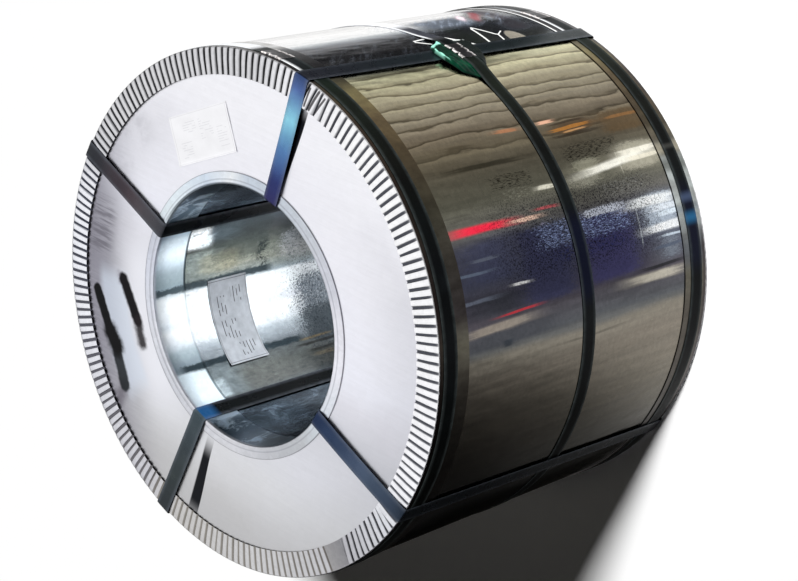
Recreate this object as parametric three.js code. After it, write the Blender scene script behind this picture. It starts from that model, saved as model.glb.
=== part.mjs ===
// Steel coil, packed for shipping: a wound strip in a sheet-metal wrap, with end discs, a fluted
// outer edge ring and a rounded inner edge ring on each end, three hoop straps and four eye straps.
// Millimetres, +Z up. The coil stands on its back end, because a coil that lies free rolls. Its axis
// is Z, its front end is the upper one, and the origin is on the floor in the middle of the eye.
// The pieces are drawn with the axis along Y and the front end toward -Y, then stood up together.
import * as THREE from 'three';
import { mergeVertices } from 'three/addons/utils/BufferGeometryUtils.js';

// Wound strip
const STRIP_WIDTH = 778;
const BORE_RADIUS = 254;
const COIL_RADIUS = 504;

// Sheet thicknesses and the play between one layer of the packing and the next
const PLAY = 0.3;
const THIN_SHEET = 0.8;
const SHEET = 1.2;
const WRAP_JOINT = { angle: -134.5, gap: 0.4 };
const STRAP_THICKNESS = 1.2;
const STRAP_WIDTH = 35;

// Edge rings
const OUTER_FLANGE_WIDTHS = { front: 78, back: 70 };
const OUTER_FLANGE_REACH = 51;
const INNER_FLANGE_DEPTH = 80;
const INNER_FLANGE_REACH = 25;
const INNER_BEAD = { start: 8, crown: 1.6, inside: 2.5 };

// Flutes of the outer edge rings, two to a facet of the turned pieces: a flat crest, then a valley
const FACETS = 94;
const BORE_FACETS = 64;
const DISC_FACETS = FACETS / 2;
const FLUTES_PER_FACET = 2;
const FLUTE_HEIGHT_AT_RIM = 0.8;
const FLUTE_HEIGHT_INSIDE = 3.0;
const FLUTE_STATIONS = [
  { turn: 0, height: 1 },
  { turn: 0.62, height: 1 },
  { turn: 0.81, height: 0 },
];
const RIM_ROUND = 2.5;

// Radii, worked outward from the strip
const WRAP_INSIDE = COIL_RADIUS + PLAY;
const WRAP_OUTSIDE = WRAP_INSIDE + SHEET;
const RING_INSIDE = WRAP_OUTSIDE + PLAY;
const RING_OUTSIDE = RING_INSIDE + SHEET;
const HOOP_ON_RING = RING_OUTSIDE + PLAY;
const HOOP_ON_WRAP = WRAP_OUTSIDE + PLAY;
const EYE_STRAP_INSIDE = HOOP_ON_RING + STRAP_THICKNESS + PLAY;
const EYE_STRAP_OUTSIDE = EYE_STRAP_INSIDE + STRAP_THICKNESS;

// Radii, worked inward from the bore
const LINER_OUTSIDE = BORE_RADIUS - PLAY;
const LINER_INSIDE = LINER_OUTSIDE - THIN_SHEET;
const LIP_OUTSIDE = LINER_INSIDE - PLAY;
const LIP_INSIDE = LIP_OUTSIDE - SHEET;
const EYE_STRAP_IN_BORE = 250.3;

// Distances along the axis from the middle of the coil
const STRIP_END = STRIP_WIDTH / 2;
const DISC_BACK = STRIP_END + PLAY;
const DISC_FACE = DISC_BACK + SHEET;
const RING_BACK = DISC_FACE + PLAY;
const RING_FLOOR = RING_BACK + SHEET;
const RING_CREST = RING_FLOOR + FLUTE_HEIGHT_INSIDE;
const LIP_FACE = RING_BACK + SHEET;
const EYE_STRAP_END = RING_CREST + PLAY + STRAP_THICKNESS;

// Where the straps sit: hoops by their distance from the middle, eye straps by their angle
const HOOP_STATIONS = { front: -363, middle: 25.4, back: 358 };
const MIDDLE_HOOP_SLOPE = -0.0365;
const EYE_STRAP_ANGLES = {
  upper_right: 78.3,
  upper_left: 158.4,
  lower_left: -108.7,
  lower_right: -26.6,
};
const LOWER_RIGHT_SKEW = 2.2;
const STRAP_CORNER_RADIUS = 5;
const STRAP_CORNER_STEPS = 3;

// Seals that close the straps, with crimped notches in both edges: the hoops' on top of the coil as
// it is drawn, the eye straps' outside on the left pair and in the bore on the right pair
const SEAL_LENGTH = 50;
const CROSSING_SEAL_OFFSET = 6;
const EYE_SEAL_LENGTH = 57;
const EYE_SEAL_OFFSET = 110;
const SEAL_THICKNESS = 1.0;
const SEAL_OVERHANG = 1.3;
const NOTCHES = 2;
const NOTCH_WIDTH = 7;
const NOTCH_DEPTH = 5;

// The middle hoop goes over the upper right eye strap, with the green pad and its seal at that place
const CROSSING_HALF_WIDTH = 38;
const CROSSING_FOOT = 12;

// Labels and the green pad
const PAPER = 0.6;
const FACE_LABEL = { length: 170, height: 95, x: -149, z: 314, tilt: 27.5 };
const BORE_LABEL = { from: 191, to: 232, start: -250, length: 102, steps: 8 };
const PAD = { halfWidth: 26, feet: [8.3, 5.2], start: -52, length: 111, thickness: 3.8, edge: 1.0 };
const PAD_ON_WRAP = WRAP_OUTSIDE + 0.8;
const PAD_ON_STRAP = EYE_STRAP_OUTSIDE + PLAY;
const CROSSING_INSIDE = PAD_ON_STRAP + PAD.thickness + PLAY;

// The turned pieces have a flat facet, not an edge, at the top, where the seals sit
const HALF_FACET = Math.PI / FACETS;
const CENTRE = new THREE.Vector2();

const galvanized = new THREE.MeshStandardMaterial({ color: 0xc9cbd2, roughness: 0.32, metalness: 0.9 });
const wrapSheet = new THREE.MeshStandardMaterial({ color: 0xb5ad95, roughness: 0.28, metalness: 0.9 });
const stripSteel = new THREE.MeshStandardMaterial({ color: 0x9fa2a6, roughness: 0.4, metalness: 0.9 });
const hoopSteel = new THREE.MeshStandardMaterial({ color: 0x1a2426, roughness: 0.35, metalness: 0.5 });
const eyeSteel = new THREE.MeshStandardMaterial({ color: 0x3c4a55, roughness: 0.3, metalness: 0.6 });
const sealSteel = new THREE.MeshStandardMaterial({ color: 0x54585c, roughness: 0.35, metalness: 0.8 });
const paper = new THREE.MeshStandardMaterial({ color: 0xf2f2ef, roughness: 0.8, metalness: 0 });
const greenPlastic = new THREE.MeshStandardMaterial({ color: 0x0f4a33, roughness: 0.5, metalness: 0 });

const coil = new THREE.Group();
coil.rotation.x = -Math.PI / 2;
coil.position.z = EYE_STRAP_END;

function add(name, geometry, material) {
  const mesh = new THREE.Mesh(geometry, material);
  mesh.name = name;
  coil.add(mesh);
  return mesh;
}

// A closed ring turned about the coil's axis from corners given as [radius, distance along the axis].
function turned(corners, facets) {
  const profile = corners.map(([radius, along]) => new THREE.Vector2(radius, along));
  profile.push(profile[0].clone());
  return new THREE.LatheGeometry(profile, facets, Math.PI / facets);
}

function sleeve(inside, outside, from, to, facets) {
  return turned([[inside, from], [outside, from], [outside, to], [inside, to]], facets);
}

// The point at a radius and an angle in a section across the axis, angle 0 toward +X and 90 up.
function across(radius, degrees) {
  const angle = THREE.MathUtils.degToRad(degrees);
  return new THREE.Vector2(radius * Math.cos(angle), radius * Math.sin(angle));
}

// Extrudes a section drawn across the axis (X and Z) along the axis.
function alongAxis(shape, start, length) {
  const geometry = new THREE.ExtrudeGeometry(shape, { depth: length, bevelEnabled: false });
  geometry.rotateX(Math.PI / 2);
  geometry.translate(0, start + length, 0);
  return geometry;
}

// A curved sheet between two radii and two angles, extruded along the axis.
function curvedSheet(inside, outside, sheet) {
  const outline = [];
  for (let i = 0; i <= sheet.steps; i += 1) {
    outline.push(across(outside, THREE.MathUtils.lerp(sheet.from, sheet.to, i / sheet.steps)));
  }
  for (let i = sheet.steps; i >= 0; i -= 1) {
    outline.push(across(inside, THREE.MathUtils.lerp(sheet.from, sheet.to, i / sheet.steps)));
  }
  return alongAxis(new THREE.Shape(outline), sheet.start, sheet.length);
}

// A sheet bent over a flat place: from its foot on a round, up to the flat, over it and down to its
// other foot. The flat is at a height and the feet are at angles before and after the middle.
function raised(middle, height, halfWidth, round, [before, after]) {
  const turn = THREE.MathUtils.degToRad(middle);
  const flatEnd = (side) => new THREE.Vector2(height, side * halfWidth).rotateAround(CENTRE, turn);
  return [across(round, middle - before), flatEnd(-1), flatEnd(1), across(round, middle + after)];
}

// The middle hoop: round like the others, but raised where it crosses over the eye strap.
function crossingHoopGeometry() {
  const step = 360 / FACETS;
  const middle = EYE_STRAP_ANGLES.upper_right;
  const feet = [CROSSING_FOOT, CROSSING_FOOT];
  const outline = (round, height) => {
    const points = raised(middle, height, CROSSING_HALF_WIDTH, round, feet);
    const end = middle + 360 - CROSSING_FOOT;
    for (let angle = middle + CROSSING_FOOT + step; angle < end; angle += step) {
      points.push(across(round, angle));
    }
    return points;
  };
  const outside = outline(HOOP_ON_WRAP + STRAP_THICKNESS, CROSSING_INSIDE + STRAP_THICKNESS);
  const shape = new THREE.Shape(outside);
  shape.holes.push(new THREE.Path(outline(HOOP_ON_WRAP, CROSSING_INSIDE)));
  return alongAxis(shape, -STRAP_WIDTH / 2, STRAP_WIDTH);
}

// The pad lies bent over the eye strap and down to the wrap on both sides, folded double and so
// thickest on the strap.
function padGeometry() {
  const { halfWidth, feet, start, length, thickness, edge } = PAD;
  const middle = EYE_STRAP_ANGLES.upper_right;
  const outer = raised(middle, PAD_ON_STRAP + thickness, halfWidth, PAD_ON_WRAP + edge, feet);
  const inner = raised(middle, PAD_ON_STRAP, halfWidth, PAD_ON_WRAP, feet);
  return alongAxis(new THREE.Shape([...outer, ...inner.reverse()]), start, length);
}

// Leans what belongs to the middle hoop, so that it drifts along the axis with height.
function leaned(geometry) {
  const position = geometry.getAttribute('position');
  for (let i = 0; i < position.count; i += 1) {
    position.setY(i, position.getY(i) + MIDDLE_HOOP_SLOPE * position.getZ(i));
  }
  return geometry;
}

// The wrap is one sheet bent round the strip, its two edges meeting in a butt joint low at the left.
function wrapGeometry() {
  const first = WRAP_JOINT.angle + WRAP_JOINT.gap / 2;
  const turn = 360 - WRAP_JOINT.gap;
  const outline = [];
  for (let i = 0; i <= FACETS; i += 1) {
    outline.push(across(WRAP_OUTSIDE, first + (turn * i) / FACETS));
  }
  for (let i = FACETS; i >= 0; i -= 1) {
    outline.push(across(WRAP_INSIDE, first + (turn * i) / FACETS));
  }
  return alongAxis(new THREE.Shape(outline), -STRIP_END, STRIP_WIDTH);
}

// One row of points round the axis: stations within each facet, each with its own distance along it.
function ringRow(radius, stations) {
  const row = [];
  for (let facet = 0; facet < FACETS; facet += 1) {
    for (const station of stations) {
      const angle = (2 * Math.PI * (facet + station.turn)) / FACETS + HALF_FACET;
      row.push(new THREE.Vector3(radius * Math.sin(angle), station.along, radius * Math.cos(angle)));
    }
  }
  return row;
}

// Closes the band between two rows; either may have several points to a facet.
function stitch(first, second, triangles) {
  const a = first.length / FACETS;
  const b = second.length / FACETS;
  const at = (row, index) => row[(index + row.length) % row.length];
  for (let facet = 0; facet < FACETS; facet += 1) {
    let i = 0;
    let j = 0;
    while (i < a || j < b) {
      const p = at(first, facet * a + i);
      const q = at(second, facet * b + j);
      if (j >= b || (i < a && (i + 0.5) / a <= (j + 0.5) / b)) {
        triangles.push(p, q, at(first, facet * a + i + 1));
        i += 1;
      } else {
        triangles.push(p, q, at(second, facet * b + j + 1));
        j += 1;
      }
    }
  }
}

function solidFrom(triangles) {
  const geometry = new THREE.BufferGeometry().setFromPoints(triangles);
  const closed = mergeVertices(geometry, 1e-4);
  closed.computeVertexNormals();
  return closed;
}

// The stations of the flutes within one facet, standing a height above the flange's floor.
function fluteStations(crest) {
  const stations = [];
  for (let flute = 0; flute < FLUTES_PER_FACET; flute += 1) {
    for (const { turn, height } of FLUTE_STATIONS) {
      stations.push({ turn: (flute + turn) / FLUTES_PER_FACET, along: RING_FLOOR + height * crest });
    }
  }
  return stations;
}

// Outer edge ring: a plain flange over the wrap and, round the corner, a flange over the disc whose
// surplus metal is gathered into flutes that rise toward the inside. Built facing +Y.
function outerRingGeometry(flangeWidth) {
  const flangeEnd = RING_FLOOR - flangeWidth;
  const level = (along) => [{ turn: 0, along }];
  const inner = RING_OUTSIDE - OUTER_FLANGE_REACH;
  const rows = [
    ringRow(inner, fluteStations(FLUTE_HEIGHT_INSIDE)),
    ringRow(RING_OUTSIDE - RIM_ROUND, fluteStations(FLUTE_HEIGHT_AT_RIM)),
    ringRow(RING_OUTSIDE, level(RING_FLOOR - RIM_ROUND / 2)),
    ringRow(RING_OUTSIDE, level(flangeEnd)),
    ringRow(RING_INSIDE, level(flangeEnd)),
    ringRow(RING_INSIDE, level(RING_BACK)),
    ringRow(inner, level(RING_BACK)),
  ];
  const triangles = [];
  rows.forEach((row, index) => stitch(row, rows[(index + 1) % rows.length], triangles));
  return solidFrom(triangles);
}

// Inner edge ring: a narrow flange over the disc that rises to a bead and rounds over it into a deep
// flange in the bore.
function innerRingGeometry() {
  const flangeEnd = LIP_FACE - INNER_FLANGE_DEPTH;
  const reach = LIP_INSIDE + INNER_FLANGE_REACH;
  const { start, crown, inside } = INNER_BEAD;
  return turned([
    [LIP_INSIDE, flangeEnd],
    [LIP_OUTSIDE, flangeEnd],
    [LIP_OUTSIDE, RING_BACK],
    [reach, RING_BACK],
    [reach, LIP_FACE],
    [LIP_INSIDE + start, LIP_FACE + crown],
    [LIP_INSIDE + inside, LIP_FACE + crown],
    [LIP_INSIDE, LIP_FACE + crown - inside],
  ], BORE_FACETS);
}

// A rounded rectangle in radius (X) and distance along the axis (Y), drawn as a path of points.
function strapOutline(inside, outside, end, corner) {
  const points = [];
  const corners = [
    [outside - corner, end - corner, 0],
    [inside + corner, end - corner, 90],
    [inside + corner, corner - end, 180],
    [outside - corner, corner - end, 270],
  ];
  for (const [x, y, start] of corners) {
    for (let i = 0; i <= STRAP_CORNER_STEPS; i += 1) {
      const turn = across(corner, start + (90 * i) / STRAP_CORNER_STEPS);
      points.push(new THREE.Vector2(x + turn.x, y + turn.y));
    }
  }
  return points;
}

// Eye strap: a closed loop through the bore, over both ends and along the outside.
function eyeStrapGeometry() {
  const inner = EYE_STRAP_IN_BORE - STRAP_THICKNESS;
  const shape = new THREE.Shape(
    strapOutline(inner, EYE_STRAP_OUTSIDE, EYE_STRAP_END, STRAP_CORNER_RADIUS + STRAP_THICKNESS),
  );
  const hole = strapOutline(
    EYE_STRAP_IN_BORE, EYE_STRAP_INSIDE, EYE_STRAP_END - STRAP_THICKNESS, STRAP_CORNER_RADIUS,
  );
  shape.holes.push(new THREE.Path(hole));
  const geometry = new THREE.ExtrudeGeometry(shape, { depth: STRAP_WIDTH, bevelEnabled: false });
  geometry.translate(0, 0, -STRAP_WIDTH / 2);
  return geometry;
}

// A strap pulled askew: its leg through the bore is true, its leg along the outside runs slanting.
function askew(geometry, degrees) {
  const position = geometry.getAttribute('position');
  const axis = new THREE.Vector3(0, 1, 0);
  const point = new THREE.Vector3();
  for (let i = 0; i < position.count; i += 1) {
    point.fromBufferAttribute(position, i);
    if (point.x > COIL_RADIUS / 2 + BORE_RADIUS / 2) {
      point.applyAxisAngle(axis, THREE.MathUtils.degToRad(degrees) * point.y / EYE_STRAP_END);
      position.setXYZ(i, point.x, point.y, point.z);
    }
  }
  return geometry;
}

// A seal is a plate pressed over the strap, its edges notched where the crimping tool bit. It lies in
// XY with its length along X and its inside face at Z = 0.
function sealGeometry(length) {
  const half = STRAP_WIDTH / 2 + SEAL_OVERHANG;
  const edge = [new THREE.Vector2(-length / 2, half)];
  for (let notch = 1; notch <= NOTCHES; notch += 1) {
    const x = -length / 2 + (length * notch) / (NOTCHES + 1);
    edge.push(new THREE.Vector2(x - NOTCH_WIDTH / 2, half));
    edge.push(new THREE.Vector2(x, half - NOTCH_DEPTH));
    edge.push(new THREE.Vector2(x + NOTCH_WIDTH / 2, half));
  }
  edge.push(new THREE.Vector2(length / 2, half));
  const opposite = edge.map(({ x, y }) => new THREE.Vector2(-x, -y));
  const outline = new THREE.Shape([...edge, ...opposite]);
  return new THREE.ExtrudeGeometry(outline, { depth: SEAL_THICKNESS, bevelEnabled: false });
}

// Strip and the sheets that cover it
add('coil_strip', sleeve(BORE_RADIUS, COIL_RADIUS, -STRIP_END, STRIP_END, FACETS), stripSteel);
add('wrap_sheet', wrapGeometry(), wrapSheet);
add('bore_liner', sleeve(LINER_INSIDE, LINER_OUTSIDE, -STRIP_END, STRIP_END, BORE_FACETS), galvanized);

const disc = sleeve(BORE_RADIUS, COIL_RADIUS, DISC_BACK, DISC_FACE, DISC_FACETS);
const innerRing = innerRingGeometry();
for (const [end, halfTurn] of [['front', Math.PI], ['back', 0]]) {
  add(`end_disc_${end}`, disc, galvanized).rotation.z = halfTurn;
  const outerRing = outerRingGeometry(OUTER_FLANGE_WIDTHS[end]);
  add(`outer_edge_ring_${end}`, outerRing, galvanized).rotation.z = halfTurn;
  add(`inner_edge_ring_${end}`, innerRing, galvanized).rotation.z = halfTurn;
}

// Hoop straps round the outside, the front and back ones each with its seal on top
for (const place of ['front', 'back']) {
  const station = HOOP_STATIONS[place];
  const outside = HOOP_ON_RING + STRAP_THICKNESS;
  const edges = [station - STRAP_WIDTH / 2, station + STRAP_WIDTH / 2];
  add(`hoop_strap_${place}`, sleeve(HOOP_ON_RING, outside, ...edges, FACETS), hoopSteel);
  const seal = add(`hoop_seal_${place}`, sealGeometry(SEAL_LENGTH), sealSteel);
  seal.position.set(0, station, outside * Math.cos(HALF_FACET) + PLAY);
}

// The middle hoop leans, and its seal lies where it crosses over the eye strap
const middleHoop = add('hoop_strap_middle', leaned(crossingHoopGeometry()), hoopSteel);
middleHoop.position.y = HOOP_STATIONS.middle;

const middleSealGeometry = sealGeometry(SEAL_LENGTH);
middleSealGeometry.translate(CROSSING_SEAL_OFFSET, 0, CROSSING_INSIDE + STRAP_THICKNESS + PLAY);
middleSealGeometry.rotateY(THREE.MathUtils.degToRad(90 - EYE_STRAP_ANGLES.upper_right));
const middleSeal = add('hoop_seal_middle', leaned(middleSealGeometry), sealSteel);
middleSeal.position.y = HOOP_STATIONS.middle;

// Eye straps through the bore, each with its seal where the strap runs along the coil
for (const [corner, angle] of Object.entries(EYE_STRAP_ANGLES)) {
  const turn = -THREE.MathUtils.degToRad(angle);
  const skew = corner === 'lower_right' ? LOWER_RIGHT_SKEW : 0;
  add(`eye_strap_${corner}`, askew(eyeStrapGeometry(), skew), eyeSteel).rotation.y = turn;
  const seal = sealGeometry(EYE_SEAL_LENGTH);
  seal.rotateZ(Math.PI / 2);
  if (corner.endsWith('left')) {
    seal.rotateY(Math.PI / 2);
    seal.translate(EYE_STRAP_OUTSIDE + PLAY, EYE_SEAL_OFFSET, 0);
  } else {
    seal.rotateY(-Math.PI / 2);
    seal.translate(EYE_STRAP_IN_BORE - STRAP_THICKNESS - PLAY, EYE_SEAL_OFFSET, 0);
  }
  add(`eye_seal_${corner}`, seal, sealSteel).rotation.y = turn;
}

// Labels and pad
const faceLabel = add(
  'face_label', new THREE.BoxGeometry(FACE_LABEL.length, PAPER, FACE_LABEL.height), paper,
);
faceLabel.position.set(FACE_LABEL.x, -(DISC_FACE + PLAY + PAPER / 2), FACE_LABEL.z);
faceLabel.rotation.y = -THREE.MathUtils.degToRad(FACE_LABEL.tilt);

const boreSide = LINER_INSIDE * Math.cos(Math.PI / BORE_FACETS) - PLAY;
add('bore_label', curvedSheet(boreSide - PAPER, boreSide, BORE_LABEL), paper);

add('green_pad', padGeometry(), greenPlastic);

export default coil;
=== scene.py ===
import bpy
import numpy as np
from mathutils import Matrix, Vector


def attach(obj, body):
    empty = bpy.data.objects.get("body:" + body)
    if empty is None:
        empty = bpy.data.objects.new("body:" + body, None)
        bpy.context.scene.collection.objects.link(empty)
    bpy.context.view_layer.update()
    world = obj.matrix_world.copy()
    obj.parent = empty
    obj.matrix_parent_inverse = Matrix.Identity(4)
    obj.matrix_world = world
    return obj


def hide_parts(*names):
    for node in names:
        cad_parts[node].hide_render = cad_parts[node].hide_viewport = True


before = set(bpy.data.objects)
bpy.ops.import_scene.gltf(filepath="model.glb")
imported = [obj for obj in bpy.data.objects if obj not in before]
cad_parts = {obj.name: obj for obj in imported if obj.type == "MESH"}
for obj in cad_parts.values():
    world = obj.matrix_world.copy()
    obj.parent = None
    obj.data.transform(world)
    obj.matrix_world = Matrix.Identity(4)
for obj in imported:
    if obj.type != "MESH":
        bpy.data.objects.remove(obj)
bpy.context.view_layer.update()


# --- The view, the floor and the light ---
# The coil stands on its back end on a pale studio floor. The camera looks down on the front end and
# on the side, and is turned as far as the coil is turned from lying on its side to standing.
CAMERA_PLACE = Vector((2.5457, 1.5180, 3.2677))
CAMERA_AIM = Vector((0.0428, -0.0127, 0.3965))
CAMERA_UP = Vector((-0.3416, 0.9199, -0.1927))
CAMERA_LENS = 92.6
SUN_FROM = Vector((0.19, 0.84, 1.0))
SUN_STRENGTH = 4.2
SUN_ANGLE = 0.14
WORLD_STRENGTH = 0.02


def aligned(place, aim, up):
    back = (place - aim).normalized()
    right = up.cross(back).normalized()
    turn = Matrix((right, back.cross(right), back)).transposed().to_4x4()
    return Matrix.Translation(place) @ turn


def linked(name, data):
    """A new object in the scene."""
    made = bpy.data.objects.new(name, data)
    bpy.context.collection.objects.link(made)
    return made


def add_node(tree, kind, settings=None, **sockets):
    """A shader node with its settings and its sockets, each by its name or as i and its number."""
    made = tree.nodes.new("ShaderNode" + kind)
    for key, value in (settings or {}).items():
        setattr(made, key, value)
    for key, value in sockets.items():
        socket = made.inputs[int(key[1:]) if key[0] == "i" and key[1:].isdigit()
            else key.replace("_", " ")]
        if isinstance(value, bpy.types.NodeSocket):
            tree.links.new(value, socket)
        else:
            socket.default_value = value
    return made


def tree_of(*values):
    """The node tree of the first of the values that is a socket."""
    return next(value.id_data for value in values if isinstance(value, bpy.types.NodeSocket))


def calculate(operation, *values, clamp=False):
    """A Math node over sockets and numbers."""
    sockets = {f"i{index}": value for index, value in enumerate(values)}
    settings = {"operation": operation, "use_clamp": clamp}
    return add_node(tree_of(*values), "Math", settings, **sockets).outputs[0]


def held(value, times):
    """The value times a number, held between 0 and 1."""
    return calculate("MULTIPLY", value, times, clamp=True)


def arithmetic(operation, turned_round=False):
    """What one of Python's signs does between a socket and a socket or number: a Math node."""
    def join(first, second):
        return calculate(operation, *((second, first) if turned_round else (first, second)))
    return join


for sign, operation in (("add", "ADD"), ("sub", "SUBTRACT"), ("mul", "MULTIPLY"),
        ("truediv", "DIVIDE")):
    setattr(bpy.types.NodeSocket, f"__{sign}__", arithmetic(operation))
    setattr(bpy.types.NodeSocket, f"__r{sign}__", arithmetic(operation, turned_round=True))


camera_data = bpy.data.cameras.new("studio_camera")
camera_data.lens = CAMERA_LENS
camera_data.sensor_width = 36
camera_data.clip_end = 100
camera = linked("studio_camera", camera_data)
camera.matrix_world = aligned(CAMERA_PLACE, CAMERA_AIM, CAMERA_UP)
bpy.context.scene.camera = camera
bpy.context.scene.view_settings.view_transform = "Standard"

world = bpy.data.worlds.new("studio_light")
world.use_nodes = True
bpy.context.scene.world = world
path = add_node(world.node_tree, "LightPath")
seen = calculate("MAXIMUM", path.outputs["Is Camera Ray"], path.outputs["Is Glossy Ray"])
seen = calculate("MAXIMUM", seen, path.outputs["Is Transmission Ray"])
strength = add_node(world.node_tree, "MapRange", To_Min=WORLD_STRENGTH, To_Max=1.0, Value=seen)
background = world.node_tree.nodes["Background"]
background.inputs["Color"].default_value = (1, 1, 1, 1)
world.node_tree.links.new(strength.outputs[0], background.inputs["Strength"])

sun = bpy.data.lights.new("key_light", "SUN")
sun.energy = SUN_STRENGTH
sun.angle = SUN_ANGLE
key_lamp = linked("key_light", sun)
key_lamp.matrix_world = aligned(SUN_FROM * 4, Vector((0, 0, 0)), Vector((1, 0, 0)))
key_lamp.visible_glossy = False


def stage_piece(name, points, faces, colour):
    """A plain dull piece of the studio, which is no part of the coil."""
    mesh = bpy.data.meshes.new(name)
    mesh.from_pydata(points, [], faces)
    piece = linked(name, mesh)
    material = bpy.data.materials.new(name)
    material.use_nodes = True
    shader = material.node_tree.nodes["Principled BSDF"]
    shader.inputs["Base Color"].default_value = (*colour, 1)
    shader.inputs["Roughness"].default_value = 1
    shader.inputs["Specular IOR Level"].default_value = 0
    mesh.materials.append(material)
    return piece


stage_piece("studio_floor", [(-40, -40, 0), (40, -40, 0), (40, 40, 0), (-40, 40, 0)],
    [(0, 1, 2, 3)], (0.97, 0.97, 0.97))

# A low dark screen stands all round, and a dark card lies on the floor round the coil. Both are
# seen only in the metal, where the screen draws the edges and the card shades the side.
def only_in_reflections(piece):
    """Hides a piece from everything but the metal's reflections."""
    for use in ("camera", "diffuse", "transmission", "volume_scatter", "shadow"):
        setattr(piece, "visible_" + use, False)


SCREEN_RADIUS = 5.0
SCREEN_TOP = 1.9
SIDES = 48
turn = np.linspace(0, 2 * np.pi, SIDES, endpoint=False)
ring = [(SCREEN_RADIUS * np.cos(a), SCREEN_RADIUS * np.sin(a), z)
    for z in (0.02, SCREEN_TOP) for a in turn]
sides = [(k, (k + 1) % SIDES, SIDES + (k + 1) % SIDES, SIDES + k) for k in range(SIDES)]
only_in_reflections(stage_piece("dark_screen", ring, sides, (0.02, 0.02, 0.025)))

CARD_INSIDE = 0.53
CARD_OUTSIDE = 4.9
CARD_HEIGHT = 0.003
ring = [(radius * np.cos(a), radius * np.sin(a), CARD_HEIGHT)
    for radius in (CARD_INSIDE, CARD_OUTSIDE) for a in turn]
card = stage_piece("floor_card", ring, sides, (0.004, 0.004, 0.005))
only_in_reflections(card)


def colour_ramp(factor, stops):
    """A ramp over (position, colour) stops, positions rising from 0 to 1."""
    made = add_node(factor.id_data, "ValToRGB", Fac=factor)
    ramp = made.color_ramp
    while len(ramp.elements) < len(stops):
        ramp.elements.new(0.5)
    for element, (position, colour) in zip(ramp.elements, stops):
        element.position = position
        element.color = (*colour, 1)
    return made.outputs["Color"]


def smooth_step(value, start, end):
    """0 at the start value and 1 at the end value, smooth between them."""
    settings = {"interpolation_type": "SMOOTHSTEP"}
    return add_node(value.id_data, "MapRange", settings, Value=value, From_Min=start,
        From_Max=end).outputs[0]


tree = card.data.materials[0].node_tree
x, y, _ = add_node(tree, "SeparateXYZ", Vector=add_node(tree, "TexCoord").outputs["Object"]).outputs
# the card is dark low at the side, in a patch that faces the camera and in a wedge high at the side
low_side = x * 0.167 - y
shades = [(0.10, 0.0), (0.18, 0.10), (0.25, 0.27), (0.35, 0.56), (0.42, 0.73), (0.50, 0.84),
    (0.58, 0.89), (0.66, 0.92), (0.80, 0.965), (0.92, 0.985)]
low_side = colour_ramp(low_side, [(place, (shade, shade, shade)) for place, shade in shades])
polar = calculate("ARCTAN2", y, x) * (180 / np.pi)
reach = calculate("SQRT", x * x + y * y)
facing = smooth_step(polar, 2, 14) * smooth_step(polar, 66, 48)
facing = facing * (smooth_step(reach, 0.57, 0.74) * 0.5)
far_strip = smooth_step(polar, 32.5, 36.5) * smooth_step(polar, 44.5, 40.5)
far_strip = far_strip * smooth_step(reach, 0.84, 0.98)
near_strip = smooth_step(polar, 40.5, 43.5) * smooth_step(polar, 48.5, 45.5)
near_strip = near_strip * smooth_step(reach, 0.94, 0.86)
facing = facing * (1.0 - calculate("MAXIMUM", far_strip, near_strip))
swung = polar - (reach - 0.6) * 30.0
high_side = smooth_step(swung, 86.5, 90) * smooth_step(swung, 117, 112.5)
high_side = high_side * 0.93
shade = calculate("MAXIMUM", calculate("MAXIMUM", low_side, facing), high_side)
clear = add_node(tree, "BsdfTransparent")
blend = add_node(tree, "MixShader", Fac=shade, i1=clear.outputs[0],
    i2=tree.nodes["Principled BSDF"].outputs[0])
tree.links.new(blend.outputs[0], tree.nodes["Material Output"].inputs["Surface"])

# The light that comes into the eye from its far end.
EYE_LIGHT_WIDTH = 0.46
EYE_LIGHT_POWER = 1.25
EYE_LIGHT_HEIGHT = 0.004
eye_light = bpy.data.lights.new("eye_light", "AREA")
eye_light.shape = "DISK"
eye_light.size = EYE_LIGHT_WIDTH
eye_light.energy = EYE_LIGHT_POWER
eye_lamp = linked("eye_light", eye_light)
eye_lamp.matrix_world = Matrix.Translation(
    (0, 0, EYE_LIGHT_HEIGHT)
) @ Matrix.Rotation(np.pi, 4, "X")
eye_lamp.visible_camera = False


# --- Wound strip ---
# The strip itself: one long sheet of cold-rolled steel wound tight on itself, its turns showing as
# fine rings on both ends. The packing hides it, and its own tension holds it.
def new_material(name, roughness, metallic=1.0):
    material = bpy.data.materials.new(name)
    material.use_nodes = True
    shader = material.node_tree.nodes["Principled BSDF"]
    shader.inputs["Roughness"].default_value = roughness
    shader.inputs["Metallic"].default_value = metallic
    return material, material.node_tree, shader


def mixed(factor, first, second, blend="MIX"):
    """The first colour, with the second laid on it where the factor says."""
    first, second = (
        (*colour, 1) if isinstance(colour, tuple) else colour for colour in (first, second)
    )
    settings = {"data_type": "RGBA", "blend_type": blend}
    return add_node(tree_of(factor, first, second), "Mix", settings, i0=factor,
        i6=first, i7=second).outputs[2]


def tinted(colour, tint, amount=1.0):
    """The colour multiplied by the tint, wholly or in part."""
    return mixed(amount, colour, tint, "MULTIPLY")


def object_place(tree):
    return add_node(tree, "TexCoord").outputs["Object"]


def from_axis(tree):
    """The distance from the coil's axis, the turn about it from -0.5 to 0.5, and the height."""
    parts = add_node(tree, "SeparateXYZ", Vector=object_place(tree))
    x, y, z = parts.outputs
    distance = calculate("SQRT", x * x + y * y)
    turned_by = calculate("ARCTAN2", y, x) / (2 * np.pi)
    return distance, turned_by, z


def srgb(red, green, blue):
    """A colour given from 0 to 255 as it looks, in the values that the shader takes."""
    return tuple(float(((v / 255 + 0.055) / 1.055) ** 2.4 if v > 10 else v / 255 / 12.92)
        for v in (red, green, blue))


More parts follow.
